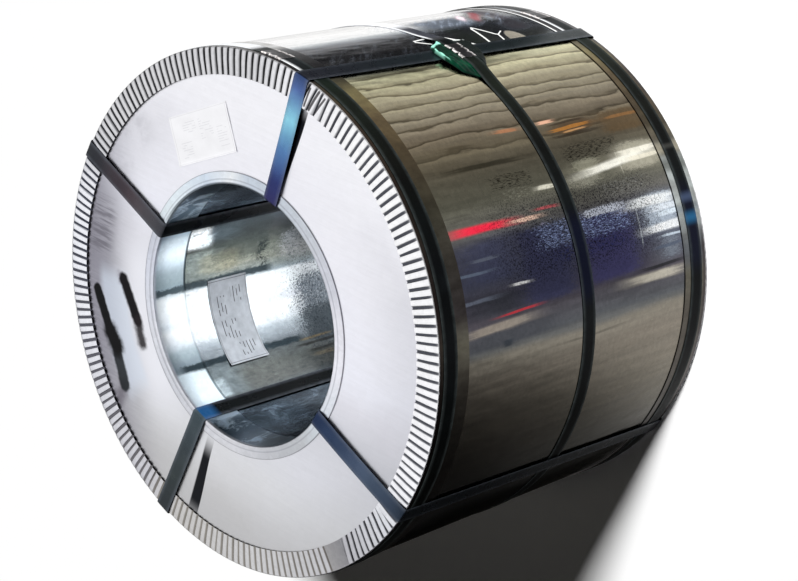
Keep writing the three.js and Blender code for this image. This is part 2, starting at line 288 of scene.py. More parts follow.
TURNS_PER_METRE = 1200.0
strip_steel, tree, shader = new_material("strip_steel", 0.35)
distance, _, _ = from_axis(tree)
turns = calculate("FRACT", distance * TURNS_PER_METRE)
tree.links.new(colour_ramp(turns, [(0, srgb(90, 92, 95)), (0.3, srgb(170, 172, 176)),
            (1, srgb(150, 152, 157))]), shader.inputs["Base Color"])
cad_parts["coil_strip"].data.materials.clear()
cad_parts["coil_strip"].data.materials.append(strip_steel)


# --- Wrap sheet ---
# One bright galvanised sheet bent round the strip, its edges in a butt joint low at the left.
# Painted reflections of its surroundings and painted shade low on its side lie on it in bands
# along the axis. The rings and straps hold it down.
def swept(name, sections, node, material, joined=True, marks=None, sharp=40):
    """A closed solid skin through rows of points, each row a closed section of the same count."""
    sections = np.asarray(sections, float)
    count, points = sections.shape[:2]
    row = np.arange(count if joined else count - 1)[:, None]
    column = np.arange(points)[None, :]
    after, beside = (row + 1) % count, (column + 1) % points
    corners = [row * points + column, row * points + beside, after * points + beside,
        after * points + column]
    quads = np.stack(corners, -1).reshape(-1, 4)
    place = sections.reshape(-1, 3)
    a, b, c, d = (place[quads[:, k]] for k in range(4))
    volume = (
        np.einsum("ij,ij->i", a, np.cross(b, c)) + np.einsum("ij,ij->i", a, np.cross(c, d))
    ).sum()
    faces = (quads if volume > 0 else quads[:, ::-1]).tolist()
    if not joined:
        ends = [list(range(points))[::-1], list(range((count - 1) * points, count * points))]
        faces += ends if volume > 0 else [end[::-1] for end in ends]
    mesh = bpy.data.meshes.new(name)
    mesh.from_pydata(place.tolist(), [], faces)
    for key, values in (marks or {}).items():
        attribute = mesh.attributes.new(key, "FLOAT", "POINT")
        attribute.data.foreach_set("value", np.asarray(values, np.float32).reshape(-1))
    mesh.validate()
    mesh.shade_smooth()
    mesh.set_sharp_from_angle(angle=np.radians(sharp))
    piece = linked(name, mesh)
    mesh.materials.append(material)
    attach(piece, "root")
    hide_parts(node)
    return piece


def full_turn(steps):
    """A column of angles once round the axis."""
    return np.radians(np.linspace(0, 360, steps, endpoint=False))[:, None]


def round_axis(angles, radius, height):
    """Points about the coil's axis, from arrays of angles in radians, radii and heights."""
    angles, radius, height = np.broadcast_arrays(angles, radius, height)
    return np.stack([radius * np.cos(angles), radius * np.sin(angles), height], -1)


def mark(tree, name):
    """The values that the mesh carries under a name."""
    return add_node(tree, "Attribute", {"attribute_name": name}).outputs["Fac"]


def bump(height, distance, strength, **below):
    made = add_node(height.id_data, "Bump", Height=height, Distance=distance,
        Strength=strength, **below)
    return made.outputs["Normal"]


def new_group(name, inputs, outputs):
    """A shader node group with named number inputs and named outputs."""
    group = bpy.data.node_groups.new(name, "ShaderNodeTree")
    for label, value in inputs.items():
        kind = "NodeSocketVector" if value is None else "NodeSocketFloat"
        socket = group.interface.new_socket(label, in_out="INPUT", socket_type=kind)
        if value is not None:
            socket.default_value = value
    for label, kind in outputs.items():
        group.interface.new_socket(label, in_out="OUTPUT", socket_type="NodeSocket" + kind)
    return group, group.nodes.new("NodeGroupInput").outputs, group.nodes.new(
        "NodeGroupOutput").inputs


def use_group(tree, group, **sockets):
    return add_node(tree, "Group", {"node_tree": group}, **sockets).outputs


def in_zinc(colour, coat):
    """The colour with the lighter and darker crystals of the zinc in it."""
    shade = add_node(colour.id_data, "CombineColor", Red=coat["Shade"],
        Green=coat["Shade"], Blue=coat["Shade"])
    return tinted(colour, shade.outputs[0])


# Zinc freezes into flat crystals, each a little lighter or darker than the next, with dark specks.
spangle, given, out = new_group(
    "zinc_spangle", {"Place": None, "Size": 120.0, "Contrast": 0.1, "Specks": 0.0},
    {"Shade": "Float", "Speck": "Float"}
)
cells = add_node(spangle, "TexVoronoi", {"feature": "F1"}, Vector=given["Place"],
    Scale=given["Size"], Randomness=1.0)
grey = add_node(spangle, "SeparateColor", Color=cells.outputs["Color"]).outputs[0]
spread = (grey - 0.5) * given["Contrast"]
spangle.links.new(spread + 1.0, out["Shade"])
dots = add_node(spangle, "TexNoise", Vector=given["Place"], Scale=given["Size"] * 2.2, Detail=3.0,
    Roughness=0.7).outputs["Fac"]
dark = given["Specks"] - dots
spangle.links.new(held(dark, 12.0), out["Speck"])


def between(value, low, high, soft):
    """1 where the value lies between low and high, falling to 0 over a soft edge on both sides."""
    return smooth_step(value, low - soft, low + soft) * smooth_step(value, high + soft, high - soft)


def between_angles(turned_by, low, high, soft):
    """The same between two angles in degrees."""
    return between(turned_by, low / 360, high / 360, soft / 360)


def noise(place, scale, detail, roughness=0.55, distortion=0.0):
    values = {"Vector": place, "Scale": scale, "Detail": detail, "Roughness": roughness}
    return add_node(place.id_data, "TexNoise", **values, Distortion=distortion).outputs["Fac"]


AROUND = 3.18    # metres once round the outside, near enough for a pattern


def unrolled(turned_by, height, across, along):
    """A flat place on the side of the coil: its arc and its height, each stretched by a factor."""
    arc = turned_by * (AROUND * across)
    return add_node(arc.id_data, "CombineXYZ", X=arc, Y=height * along).outputs[0]


def tones_round(turn, tones, first=-180):
    """A ramp of (angle, tone) pairs round the axis, from the first angle on."""
    return colour_ramp(turn, [((angle - first) / 360, srgb(*tone)) for angle, tone in tones])


def beside_line(place, start, end, flat=False):
    """The distance from a place to a straight line between two points, at any height if flat."""
    tree = place.id_data
    if flat:
        place = add_node(tree, "VectorMath", {"operation": "MULTIPLY"}, i0=place,
            i1=(1, 1, 0)).outputs[0]
    along = Vector(end) - Vector(start)
    offset = add_node(tree, "VectorMath", {"operation": "SUBTRACT"}, i0=place, i1=start).outputs[0]
    share = add_node(tree, "VectorMath", {"operation": "DOT_PRODUCT"}, i0=offset,
        i1=tuple(along / along.length_squared)).outputs["Value"]
    share = calculate("MINIMUM", calculate("MAXIMUM", share, 0.0), 1.0)
    foot = add_node(tree, "VectorMath", {"operation": "SCALE"}, i0=tuple(along),
        Scale=share).outputs[0]
    apart = add_node(tree, "VectorMath", {"operation": "SUBTRACT"}, i0=offset, i1=foot).outputs[0]
    return add_node(tree, "VectorMath", {"operation": "LENGTH"}, i0=apart).outputs["Value"]


# each painted crease highlight: an angle and a height at both ends, and half its width
CREASE_GLINTS = [
    ((88.0, 0.2540), (80.0, 0.2712), 0.0025), ((88.9, 0.2472), (88.0, 0.2540), 0.0026),
    ((88.9, 0.2465), (84.2, 0.2252), 0.0026), ((84.2, 0.2252), (83.5, 0.2185), 0.0022),
    ((83.6, 0.2185), (80.0, 0.2290), 0.0021), ((83.6, 0.2185), (85.0, 0.1975), 0.0014),
    ((85.9, 0.4350), (84.0, 0.4090), 0.0024), ((86.5, 0.4340), (86.9, 0.4030), 0.0022),
    ((85.8, 0.3520), (83.2, 0.3300), 0.0032), ((83.2, 0.3300), (80.3, 0.3060), 0.0028)
]
WRAP_RADIUS = 0.5055
WRAP_INSIDE = 0.5043
WRAP_FOOT = 0.0075
WRAP_HEAD = 0.7855
WRAP_JOINT = -134.5
WRAP_JOINT_HALF = 0.02
WRAP_DENTS = 0.0006
WRAP_WAVES = 16
WRAP_GRID = (480, 72)

rng = np.random.default_rng(7)
ends = (WRAP_JOINT + WRAP_JOINT_HALF, WRAP_JOINT + 360 - WRAP_JOINT_HALF)
angles = np.radians(np.linspace(*ends, WRAP_GRID[0]))[:, None]
heights = np.linspace(WRAP_FOOT, WRAP_HEAD, WRAP_GRID[1])[None, :]
sink = np.zeros(WRAP_GRID)
for _ in range(WRAP_WAVES):
    across_waves = rng.uniform(7, 30)
    along_waves = rng.uniform(2, 9)
    sink += (np.sin(angles * across_waves + rng.uniform(0, 6.28))
        * np.sin(heights * along_waves + rng.uniform(0, 6.28)) / across_waves)
sink = (sink - sink.min()) / np.ptp(sink)
outer = round_axis(angles, WRAP_RADIUS - WRAP_DENTS * sink, heights)
inner = round_axis(angles, WRAP_INSIDE, np.array([[WRAP_HEAD, WRAP_FOOT]]))

wrap_finish, tree, shader = new_material("wrap_finish", 0.2)
_, turned_by, height = from_axis(tree)
wander = noise(unrolled(turned_by, height, 14, 2.2), 1.0, 4)
strayed = turned_by + (wander - 0.5) * 0.007
factor = strayed + 0.5
# the tones of the sheet round the coil, each at its angle: painted reflections, white over the top,
# and painted shade, dark low on the side
bands = [
    (-180, (132, 128, 116)), (-150, (160, 154, 132)), (-120, (134, 128, 116)),
    (-90, (112, 108, 100)), (-55, (94, 90, 82)), (-28, (84, 80, 70)), (-20, (104, 100, 90)),
    (-8, (121, 115, 103)), (4, (128, 121, 110)), (8.8, (132, 127, 116)), (10.2, (84, 88, 92)),
    (17, (80, 76, 84)), (24, (74, 76, 92)), (32, (84, 85, 96)), (35, (104, 103, 98)),
    (40, (112, 111, 97)), (48, (90, 84, 70)), (52, (100, 92, 75)), (56, (111, 101, 85)),
    (60, (128, 120, 103)), (68, (156, 149, 124)), (72, (180, 175, 143)), (75.5, (208, 206, 170)),
    (79, (176, 182, 184)), (84, (82, 90, 102)), (91.0, (62, 72, 86)), (92.6, (176, 184, 190)),
    (94, (250, 252, 253)), (100, (255, 255, 255)), (114, (150, 150, 152)), (135, (168, 162, 140)),
    (180, (132, 128, 116))
]
colour = tones_round(factor, bands)
# wavy lines along the axis, a painted reflection, strongest in the pale band
lines = add_node(
    tree, "TexWave", {"bands_direction": "X", "wave_profile": "SAW"},
    Vector=unrolled(turned_by, height, 26, 5.0), Scale=0.40, Distortion=7.5, Detail=4.0,
    Detail_Scale=1.4, Detail_Roughness=0.6
)
line = colour_ramp(
    lines.outputs["Fac"],
    [(0, (0.26, 0.24, 0.19)), (0.09, (0.50, 0.47, 0.41)), (0.22, (0.88, 0.86, 0.83)),
        (0.55, (1.00, 1.00, 1.00)), (0.92, (1.34, 1.34, 1.32)), (1, (0.62, 0.60, 0.56))]
)
pale = between_angles(turned_by, 50, 77, 5)
colour = tinted(colour, line, pale)
streaks = noise(unrolled(turned_by, height, 60, 1.4), 1.0, 5)
colour = tinted(colour,
    colour_ramp(streaks, [(0.3, (0.66, 0.65, 0.64)), (0.7, (1.32, 1.30, 1.28))]), 0.5)
place = object_place(tree)
grain = noise(unrolled(turned_by, height, 600, 85.0), 1.0, 3, 0.7)
threads = noise(unrolled(turned_by, height, 330, 7.0), 1.0, 3, 0.6)


def part_way(share, first, second):
    """A number part of the way from the first to the second."""
    return add_node(first.id_data, "Mix", {"data_type": "FLOAT"}, i0=share,
        i2=first, i3=second).outputs[0]


dulled = 0.0


def make_dull(mask, amount):
    """Makes a mark dull and not metallic, so that the light or shade painted in it shows as given.
    """
    global dulled
    dulled = calculate("MAXIMUM", dulled, mask * amount)


def tinted_patch(colour, low, high, soft, foot, head, fade, tint, amount, broken, lean=0.0, dull=0.0):
    """A patch of tint, mostly painted reflection, between two angles and two heights, specked at
    its edge.
    """
    turn = strayed * 360 - (height - head) * lean
    mask = between(turn, low, high, soft) * between(height, foot + fade, head - fade, fade)
    level = mask * (0.52 if broken < 1 else 0.28) + 0.24
    specks = held(level - grain, 9.0)
    mask = part_way(broken, mask, specks)
    if dull:
        make_dull(mask, dull)
    return mixed(mask * amount, colour, srgb(*tint))


def tinted_streak(colour, angle, half, foot, head, tint, amount, ragged, lean=0.0):
    """A thin tint along the axis, mostly painted reflection, that fades to both ends and frays into
    threads.
    """
    turn = strayed * 360 - (height - head) * lean
    beside = calculate("ABSOLUTE", turn - angle)
    fade = (head - foot) * 0.22
    mask = (smooth_step(beside, half * 1.3, half * 0.5)
        * between(height, foot + fade, head - fade, fade))
    level = mask * 0.60 + 0.18
    frayed = held(level - threads, 8.0)
    return mixed(part_way(ragged, mask, frayed) * amount, colour, srgb(*tint))


def marked(colour, marks):
    """The colour with rows of marks laid on it: the way each is drawn, then its measures."""
    for draw, *measures in marks:
        colour = draw(colour, *measures)
    return colour


# painted reflections in the dark strip at the top: pale clouds, dull dark patches, and a pink
# and red one at its far end;
# in these rows come the two angles, the edge, the foot, the head, the fade, the tint and the amount
arc = turned_by * AROUND
slanting = add_node(tree, "CombineXYZ", X=(arc + height) * 62.0, Y=(arc - height) * 11.0).outputs[0]
clouds = noise(slanting, 1.0, 6, 0.72)
colour = marked(colour, [
    (tinted_patch, 90.8, 99.0, 2.6, 0.14, 0.41, 0.05, (74, 84, 98), 0.97, 0.3, 0.0, 0.9),
    (tinted_patch, 90.5, 104, 1.8, 0.06, 0.18, 0.03, (66, 60, 68), 0.95, 0.3, 0.0, 0.9),
    (tinted_patch, 84.0, 91.0, 1.6, 0.07, 0.20, 0.03, (50, 46, 52), 0.9, 0.4, 0.0, 0.6),
    (tinted_patch, 80.6, 90.8, 1.4, 0.37, 0.76, 0.05, (24, 27, 40), 0.92, 0.3),
    (tinted_patch, 80.5, 91.6, 1.0, 0.66, 0.80, 0.025, (20, 19, 32), 0.96, 0.25),
])
clouded = part_way(between(height, 0.08, 0.42, 0.06), between_angles(strayed, 81, 91, 2) * 0.35,
    between_angles(strayed, 89, 101, 3))
cloud_reflection = smooth_step(clouds, 0.46, 0.68) * clouded
colour = marked(colour, [
    (tinted_patch, 79.0, 86.5, 2.4, 0.20, 0.37, 0.03, (132, 140, 134), 0.9, 0.3),
    (tinted_patch, 79.0, 83.0, 2.0, 0.06, 0.24, 0.03, (132, 138, 134), 0.9, 0.3),
])
make_dull(cloud_reflection, 0.45)
colour = mixed(cloud_reflection * 0.75, colour, srgb(168, 180, 198))
colour = marked(colour, [
    (tinted_patch, 79.5, 90, 1.6, 0.26, 0.345, 0.02, (74, 96, 82), 0.7, 0.3),
    (tinted_patch, 92.2, 95.4, 1.0, 0.176, 0.230, 0.012, (255, 232, 242), 1.0, 0.25, -112.5, 1.0),
    (tinted_patch, 89.4, 93.4, 1.8, 0.115, 0.210, 0.016, (150, 36, 50), 0.85, 0.45, -112.5, 0.9),
])
# a painted reflection in a dented patch between the creases
beyond = (height - 0.1850) / 0.0235
above = (turned_by * 360 - 80.4) / 4.4
dent_reflection = beyond * beyond + above * above
dent_reflection = smooth_step(dent_reflection, 1.1, 0.8) * smooth_step(above, -0.05, 0.05)
make_dull(dent_reflection, 0.9)
colour = mixed(dent_reflection, colour, mixed(threads, srgb(88, 84, 78), srgb(186, 178, 160)))
# painted reflections: brown and orange lines below the pale band; then dark specks
colour = marked(colour, [
    (tinted_patch, 48.4, 53.8, 1.0, 0.01, 0.25, 0.05, (92, 73, 47), 0.85, 0.5),
    (tinted_patch, 50.6, 53.8, 1.0, 0.16, 0.38, 0.05, (84, 64, 42), 0.85, 0.4),
    (tinted_streak, 54.6, 0.40, 0.30, 0.378, (246, 190, 158), 0.9, 0.5),
    (tinted_streak, 52.1, 0.50, 0.17, 0.38, (182, 122, 54), 0.9, 0.8),
    (tinted_streak, 51.2, 0.26, 0.20, 0.34, (222, 168, 112), 0.7, 0.8),
    (tinted_streak, 53.5, 0.34, 0.18, 0.38, (52, 40, 26), 0.8, 0.5),
    (tinted_streak, 51.9, 0.45, 0.02, 0.22, (148, 104, 58), 0.7, 0.8),
    (tinted_streak, 54.3, 0.45, 0.39, 0.51, (196, 126, 82), 0.6, 0.6),
    (tinted_streak, 50.3, 0.45, 0.14, 0.42, (50, 40, 28), 0.8, 0.5),
    (tinted_streak, 47.6, 0.62, 0.36, 0.74, (48, 44, 32), 0.9, 0.3),
    (tinted_patch, 38.5, 44.0, 1.5, 0.38, 0.62, 0.06, (168, 166, 148), 0.6, 1.0),
    (tinted_patch, 41.4, 45.2, 0.6, 0.41, 0.60, 0.03, (30, 26, 16), 1.0, 1.0),
    (tinted_patch, 41.5, 44.8, 0.8, 0.20, 0.38, 0.05, (160, 158, 138), 0.8, 0.8),
    (tinted_patch, 43.9, 48.0, 0.6, 0.13, 0.38, 0.03, (28, 24, 14), 1.0, 1.0),
    # the painted pale glint and the speckled strip beside it
    (tinted_patch, 39.2, 45.8, 1.0, 0.02, 0.25, 0.05, (180, 176, 158), 0.85, 0.5),
    (tinted_patch, 38.0, 42.0, 2.0, 0.20, 0.42, 0.06, (158, 156, 140), 0.7, 0.8),
    (tinted_streak, 40.3, 0.55, 0.38, 0.47, (252, 248, 228), 0.9, 0.4),
    (tinted_streak, 40.5, 1.05, 0.02, 0.38, (255, 253, 240), 1.0, 0.25, -9.0),
    (tinted_streak, 43.3, 0.75, 0.02, 0.24, (252, 248, 232), 0.9, 0.5, -3.0),
    (tinted_streak, 42.0, 0.60, 0.02, 0.22, (240, 234, 214), 0.9, 0.5),
    (tinted_patch, 33.5, 38.5, 1.2, 0.03, 0.40, 0.08, (150, 150, 146), 0.7, 1.0),
    # a painted violet reflection, and painted pale blue glints at its far end
    (tinted_patch, 24.0, 32.5, 1.5, 0.45, 0.80, 0.10, (76, 80, 108), 0.8, 0.4),
    (tinted_patch, 17.9, 21.4, 0.7, 0.42, 0.80, 0.10, (54, 56, 64), 0.85, 0.2),
    (tinted_patch, 17.3, 32.6, 1.2, 0.34, 0.61, 0.06, (60, 62, 92), 0.95, 0.5),
    (tinted_patch, 17.5, 32.8, 1.2, 0.16, 0.42, 0.05, (68, 66, 108), 0.97, 0.45),
    (tinted_patch, 23.5, 31.5, 1.6, 0.16, 0.54, 0.06, (40, 46, 98), 0.85, 1.0),
    (tinted_patch, 27.0, 33.6, 1.6, 0.14, 0.56, 0.05, (160, 178, 222), 1.0, 1.0),
    (tinted_patch, 31.6, 33.8, 0.8, 0.40, 0.54, 0.05, (222, 196, 212), 0.75, 1.0),
    (tinted_patch, 24.5, 33.5, 1.2, 0.02, 0.23, 0.05, (182, 194, 208), 0.9, 0.7),
    (tinted_patch, 18.0, 24.5, 1.5, 0.02, 0.20, 0.06, (132, 142, 154), 0.8, 0.5),
    (tinted_streak, 31.8, 1.30, 0.01, 0.29, (250, 254, 255), 1.0, 0.35),
    (tinted_patch, 31.6, 33.6, 0.5, 0.20, 0.38, 0.03, (230, 236, 250), 0.9, 0.9),
    (tinted_streak, 29.9, 0.70, 0.01, 0.20, (236, 244, 252), 0.9, 0.5),
    (tinted_streak, 28.6, 0.60, 0.02, 0.17, (226, 238, 248), 0.95, 0.4),
    (tinted_streak, 25.6, 1.05, 0.01, 0.23, (250, 253, 255), 1.0, 0.35),
    (tinted_streak, 23.4, 0.30, 0.02, 0.17, (214, 228, 240), 0.8, 0.5),
    (tinted_streak, 21.4, 0.40, 0.03, 0.20, (84, 94, 112), 0.8, 0.5),
    # a painted red reflection with its pale lower edge, thin lines below it, and grey lines at the
    # foot
    (tinted_streak, 35.4, 0.85, 0.49, 0.76, (255, 48, 76), 1.0, 0.15, 2.5),
    (tinted_streak, 34.7, 0.40, 0.43, 0.58, (255, 214, 190), 0.85, 0.4),
    (tinted_streak, 35.9, 0.40, 0.38, 0.50, (236, 92, 104), 0.6, 0.6),
    (tinted_streak, 22.3, 0.32, 0.51, 0.60, (255, 255, 255), 1.0, 0.6),
    (tinted_streak, 21.1, 0.30, 0.58, 0.80, (124, 132, 150), 0.7, 0.3),
    (tinted_streak, 26.8, 0.35, 0.58, 0.80, (128, 142, 164), 0.7, 0.3),
    (tinted_streak, 29.2, 0.35, 0.58, 0.70, (128, 136, 152), 0.6, 0.5),
    (tinted_streak, 17.2, 0.28, 0.48, 0.66, (222, 60, 70), 0.8, 0.3),
    (tinted_patch, 10.8, 14.2, 0.8, 0.38, 0.80, 0.08, (68, 70, 76), 0.8, 0.2),
    (tinted_streak, 15.2, 1.0, 0.47, 0.78, (156, 146, 134), 0.85, 0.3),
    (tinted_streak, 15.6, 1.05, 0.02, 0.32, (186, 180, 166), 1.0, 0.3),
    (tinted_streak, 17.4, 0.40, 0.02, 0.26, (36, 36, 40), 0.9, 0.4),
    (tinted_streak, 11.0, 0.90, 0.58, 0.63, (46, 52, 60), 0.8, 0.3),
    (tinted_streak, 7.2, 0.30, 0.20, 0.52, (88, 84, 76), 0.5, 0.4),
    (tinted_patch, 22.5, 31.0, 1.5, 0.1920, 0.2010, 0.0025, (206, 214, 220), 0.5, 0.9),
    (tinted_patch, 38.5, 45.0, 2.0, 0.1925, 0.2005, 0.0025, (236, 232, 214), 0.4, 0.9),
])
coat = use_group(tree, spangle, Place=place, Size=150.0, Contrast=0.16, Specks=0.50)
speck_zone = between_angles(strayed, 21, 39, 4) * between(height, 0.12, 0.60, 0.08)
colour = mixed(coat["Speck"] * (speck_zone * 0.95), colour, srgb(20, 18, 28))
colour = in_zinc(colour, coat)
# painted highlights: creases pressed into the sheet beside the crossing of the straps catch the
# light
flat_place = add_node(tree, "CombineXYZ",
    X=turned_by * (2 * np.pi * WRAP_RADIUS), Y=height).outputs[0]
for start, end, half in CREASE_GLINTS:
    ends = [(np.radians(angle) * WRAP_RADIUS, level, 0) for angle, level in (start, end)]
    beside = beside_line(flat_place, *ends)
    creases_and_glints = smooth_step(beside, half * 1.5, half * 0.5)
    make_dull(creases_and_glints, 1.0)
    colour = mixed(creases_and_glints, colour, srgb(252, 253, 250))
tree.links.new(colour, shader.inputs["Base Color"])
tree.links.new(calculate("SUBTRACT", 1.0, dulled, clamp=True), shader.inputs["Metallic"])
tree.links.new(dulled * 0.45 + 0.2, shader.inputs["Roughness"])
ripple = noise(unrolled(turned_by, height, 10, 3.0), 2.0, 2)
fine = noise(unrolled(turned_by, height, 200, 12), 1.0, 3)
normal = bump(ripple, 0.004, 0.6)
tree.links.new(bump(fine, 0.0002, 0.4, Normal=normal), shader.inputs["Normal"])
swept("wrap_skin", np.concatenate([outer, np.broadcast_to(inner, (WRAP_GRID[0], 2, 3))], 1),
    joined=False, node="wrap_sheet", material=wrap_finish)


# --- Bore liner ---
# A thin galvanised sleeve that lines the eye and keeps the innermost turn from scuffing. It is
# sprung into the bore and held at both ends by the flanges of the inner edge rings.
LINER_RADIUS = 0.2529
LINER_OUTSIDE = 0.2537
LINER_DENTS = 0.0005
LINER_GRID = (256, 48)
liner_finish, tree, shader = new_material("liner_finish", 0.24)
_, turned_by, height = from_axis(tree)


def in_the_eye(turned_by, height):
    """The angle about the axis from 0 to 360, a little unsteady, and the fine grain of the zinc."""
    patches = noise(unrolled(turned_by, height, 12, 4.0), 1.5, 4, 0.6)
    angle = calculate("WRAP", turned_by * 360, 360.0, 0.0)
    return angle + (patches - 0.5) * 3.0, noise(object_place(turned_by.id_data), 300.0, 3, 0.7)


def eye_mark(colour, low, high, soft, foot, head, fade, tint, amount, broken=0.0):
    """A mark in the eye between two angles and two heights, its edge broken up by the grain."""
    mask = between(eye_angle, low, high, soft) * between(height, foot, head, fade)
    if broken:
        level = mask * (0.52 if broken < 1 else 0.34) + 0.24
        mask = part_way(broken, mask, held(level - eye_grain, 9.0))
    return mixed(mask * amount, colour, srgb(*tint))


def band_edge_line(colour, angle, half, foot, head, amount):
    """A thin dark line along the eye at the edge of a painted reflected band, wider here and there.
    """
    thick = noise(unrolled(turned_by, height, 30, 26.0), 1.0, 4, 0.7) * (2.4 * half)
    beside = calculate("ABSOLUTE", eye_angle + (eye_grain - 0.5) * 3.0 - angle)
    mask = smooth_step(beside - thick, 0.5, -0.5) * between(height, foot, head, 0.015)
    return mixed(mask * amount, colour, srgb(44, 56, 62))


eye_angle, eye_grain = in_the_eye(turned_by, height)
# the tones of the eye round its axis: painted reflections of its far end and painted shade
bands = [
    (0, (225, 228, 232)), (60, (225, 228, 232)), (100, (104, 116, 130)), (115, (66, 84, 102)),
    (140, (76, 94, 114)), (153, (78, 90, 106)), (162, (62, 70, 78)), (171, (52, 55, 56)),
    (176, (76, 80, 76)), (181, (104, 108, 100)), (186, (130, 133, 124)), (190, (132, 140, 138)),
    (192.6, (140, 152, 158)), (194, (218, 224, 227)), (201, (218, 224, 226)),
    (206, (203, 208, 214)), (210, (218, 222, 224)), (216.5, (196, 203, 208)),
    (219, (158, 167, 173)), (222, (140, 148, 154)), (226, (122, 130, 136)), (229.5, (94, 100, 102)),
    (236, (90, 94, 92)), (245, (88, 91, 90)), (253, (80, 92, 102)), (258, (78, 90, 102)),
    (266, (78, 94, 108)), (280, (74, 86, 102)), (310, (150, 156, 164)), (340, (225, 228, 232))
]
colour = tones_round(eye_angle / 360, bands, 0)
# paler streaks painted on the dark sides as reflections
marbled = noise(unrolled(turned_by, height, 22, 9.0), 1.0, 5, 0.6, 1.2)
dark_sides = calculate("MAXIMUM", between(eye_angle, 117, 153, 2), between(eye_angle, 256, 285, 2))
marbling = dark_sides * smooth_step(marbled, 0.50, 0.68)
colour = mixed(marbling * 0.6, colour, srgb(120, 138, 156))
creases_and_glints = noise(unrolled(turned_by, height, 16, 14.0), 1.0, 5, 0.65, 1.0)
creases_and_glints = smooth_step(creases_and_glints, 0.48, 0.66) * between(height, 0.45, 0.75, 0.06)
colour = mixed(creases_and_glints * (dark_sides * 0.75), colour, srgb(150, 170, 188))
# more painted reflections and shade, with white highlights near the mouth
colour = marked(colour, [
    (eye_mark, 160, 172, 3.0, 0.575, 0.72, 0.035, (92, 104, 112), 0.9),
    (eye_mark, 176, 190, 2.0, 0.615, 0.72, 0.03, (128, 138, 136), 0.8, 0.3),
    (eye_mark, 178, 188, 3.0, 0.56, 0.67, 0.03, (146, 142, 118), 0.45, 0.5),
    (eye_mark, 162, 173.5, 1.6, 0.655, 0.72, 0.014, (250, 254, 255), 1.0, 0.15),
    (eye_mark, 168, 174, 1.6, 0.642, 0.67, 0.010, (222, 232, 236), 0.8, 0.4),
    (eye_mark, 236.5, 246, 1.2, 0.682, 0.72, 0.008, (206, 220, 226), 0.95, 0.2),
    (eye_mark, 229, 246, 1.5, 0.64, 0.72, 0.03, (120, 132, 138), 0.6),
    (eye_mark, 197, 232, 6, 0.30, 0.435, 0.045, (84, 94, 104), 0.9, 1.0),
    (eye_mark, 199, 232, 6, 0.30, 0.400, 0.03, (110, 120, 128), 0.7, 0.3),
    (eye_mark, 214, 232, 4.0, 0.30, 0.425, 0.04, (56, 64, 68), 0.7, 0.7),
    (eye_mark, 228.5, 229.6, 0.4, 0.36, 0.45, 0.02, (138, 122, 88), 0.6, 0.4),
    (eye_mark, 231.0, 232.4, 0.4, 0.34, 0.46, 0.02, (36, 34, 30), 0.7, 0.4),
    (eye_mark, 234.6, 236.0, 0.4, 0.36, 0.44, 0.02, (38, 36, 30), 0.6, 0.4),
    (eye_mark, 236.8, 239.0, 0.8, 0.37, 0.43, 0.02, (140, 128, 104), 0.5, 0.3),
    (eye_mark, 160, 184, 4.0, 0.48, 0.640, 0.03, (40, 50, 50), 0.50, 0.9),
    (eye_mark, 174, 190, 6.0, 0.33, 0.450, 0.05, (170, 172, 178), 0.5, 0.9),
    (eye_mark, 117, 152, 2.0, 0.40, 0.690, 0.022, (22, 34, 48), 0.42),
    (eye_mark, 251, 290, 2.0, 0.30, 0.575, 0.03, (30, 36, 42), 0.6, 0.3),
])
mottled = colour_ramp(noise(unrolled(turned_by, height, 64, 40.0), 1.0, 5, 0.7),
    [(0.32, (0.62, 0.64, 0.64)), (0.5, (0.98, 0.98, 0.97)), (0.7, (1.22, 1.21, 1.19))])
not_shining = calculate("MAXIMUM", between(eye_angle, 160, 191, 3), between(eye_angle, 228, 247, 3))
colour = tinted(colour, mottled, not_shining * 0.8)
colour = marked(colour, [
    (band_edge_line, 191.2, 1.2, 0.475, 0.73, 0.9),
    (band_edge_line, 227.6, 1.4, 0.44, 0.73, 0.95),
])
cracks = between(eye_angle, 177, 191, 2) * between(height, 0.482, 0.512, 0.008)
crack = smooth_step(
    calculate("ABSOLUTE", noise(object_place(tree), 42.0, 4, 0.7) - 0.5), 0.045, 0.015
)
colour = mixed(cracks * crack * 0.9, colour, srgb(30, 38, 40))
# the painted reflections and shade lie on the side that is seen down the eye; beyond it the zinc
# is its own clean light colour
PAINTED_SIDE = np.radians(211 - 360)
around = turned_by * (2 * np.pi) - PAINTED_SIDE
limit = calculate("COSINE", around) * -0.46 + 0.75
clean = smooth_step(height - limit, 0.0, -0.05)
deep = smooth_step(height, 0.58, 0.36)
coat = use_group(tree, spangle, Place=object_place(tree), Size=110.0, Contrast=0.16,
    Specks=deep * 0.22 + 0.26)
colour = mixed(coat["Speck"] * 0.75, colour, srgb(40, 48, 56))
# painted shade, darker deep down the eye
colour = tinted(colour, srgb(172, 172, 174), smooth_step(height, 0.47, 0.37))
# a painted shadow line just below the inner ring's flange
shadow_below_lip = colour_ramp(
    eye_angle / 360, [(0.44, (0, 0, 0)), (0.455, (1, 1, 1)), (0.53, (1, 1, 1)),
        (0.54, (0.25, 0.25, 0.25)), (0.622, (0.25, 0.25, 0.25)), (0.635, (0.6, 0.6, 0.6)),
        (0.683, (0.6, 0.6, 0.6)), (0.70, (0.05, 0.05, 0.05))]
)
shadow_below_lip = between(height, 0.7045, 0.712, 0.001) * shadow_below_lip
colour = tinted(colour, srgb(110, 114, 118), shadow_below_lip)
colour = mixed(clean, colour, srgb(245, 246, 248))
colour = in_zinc(colour, coat)
tree.links.new(colour, shader.inputs["Base Color"])
tree.links.new(bump(noise(unrolled(turned_by, height, 6, 3.0), 2.0, 3), 0.003, 0.5),
    shader.inputs["Normal"])

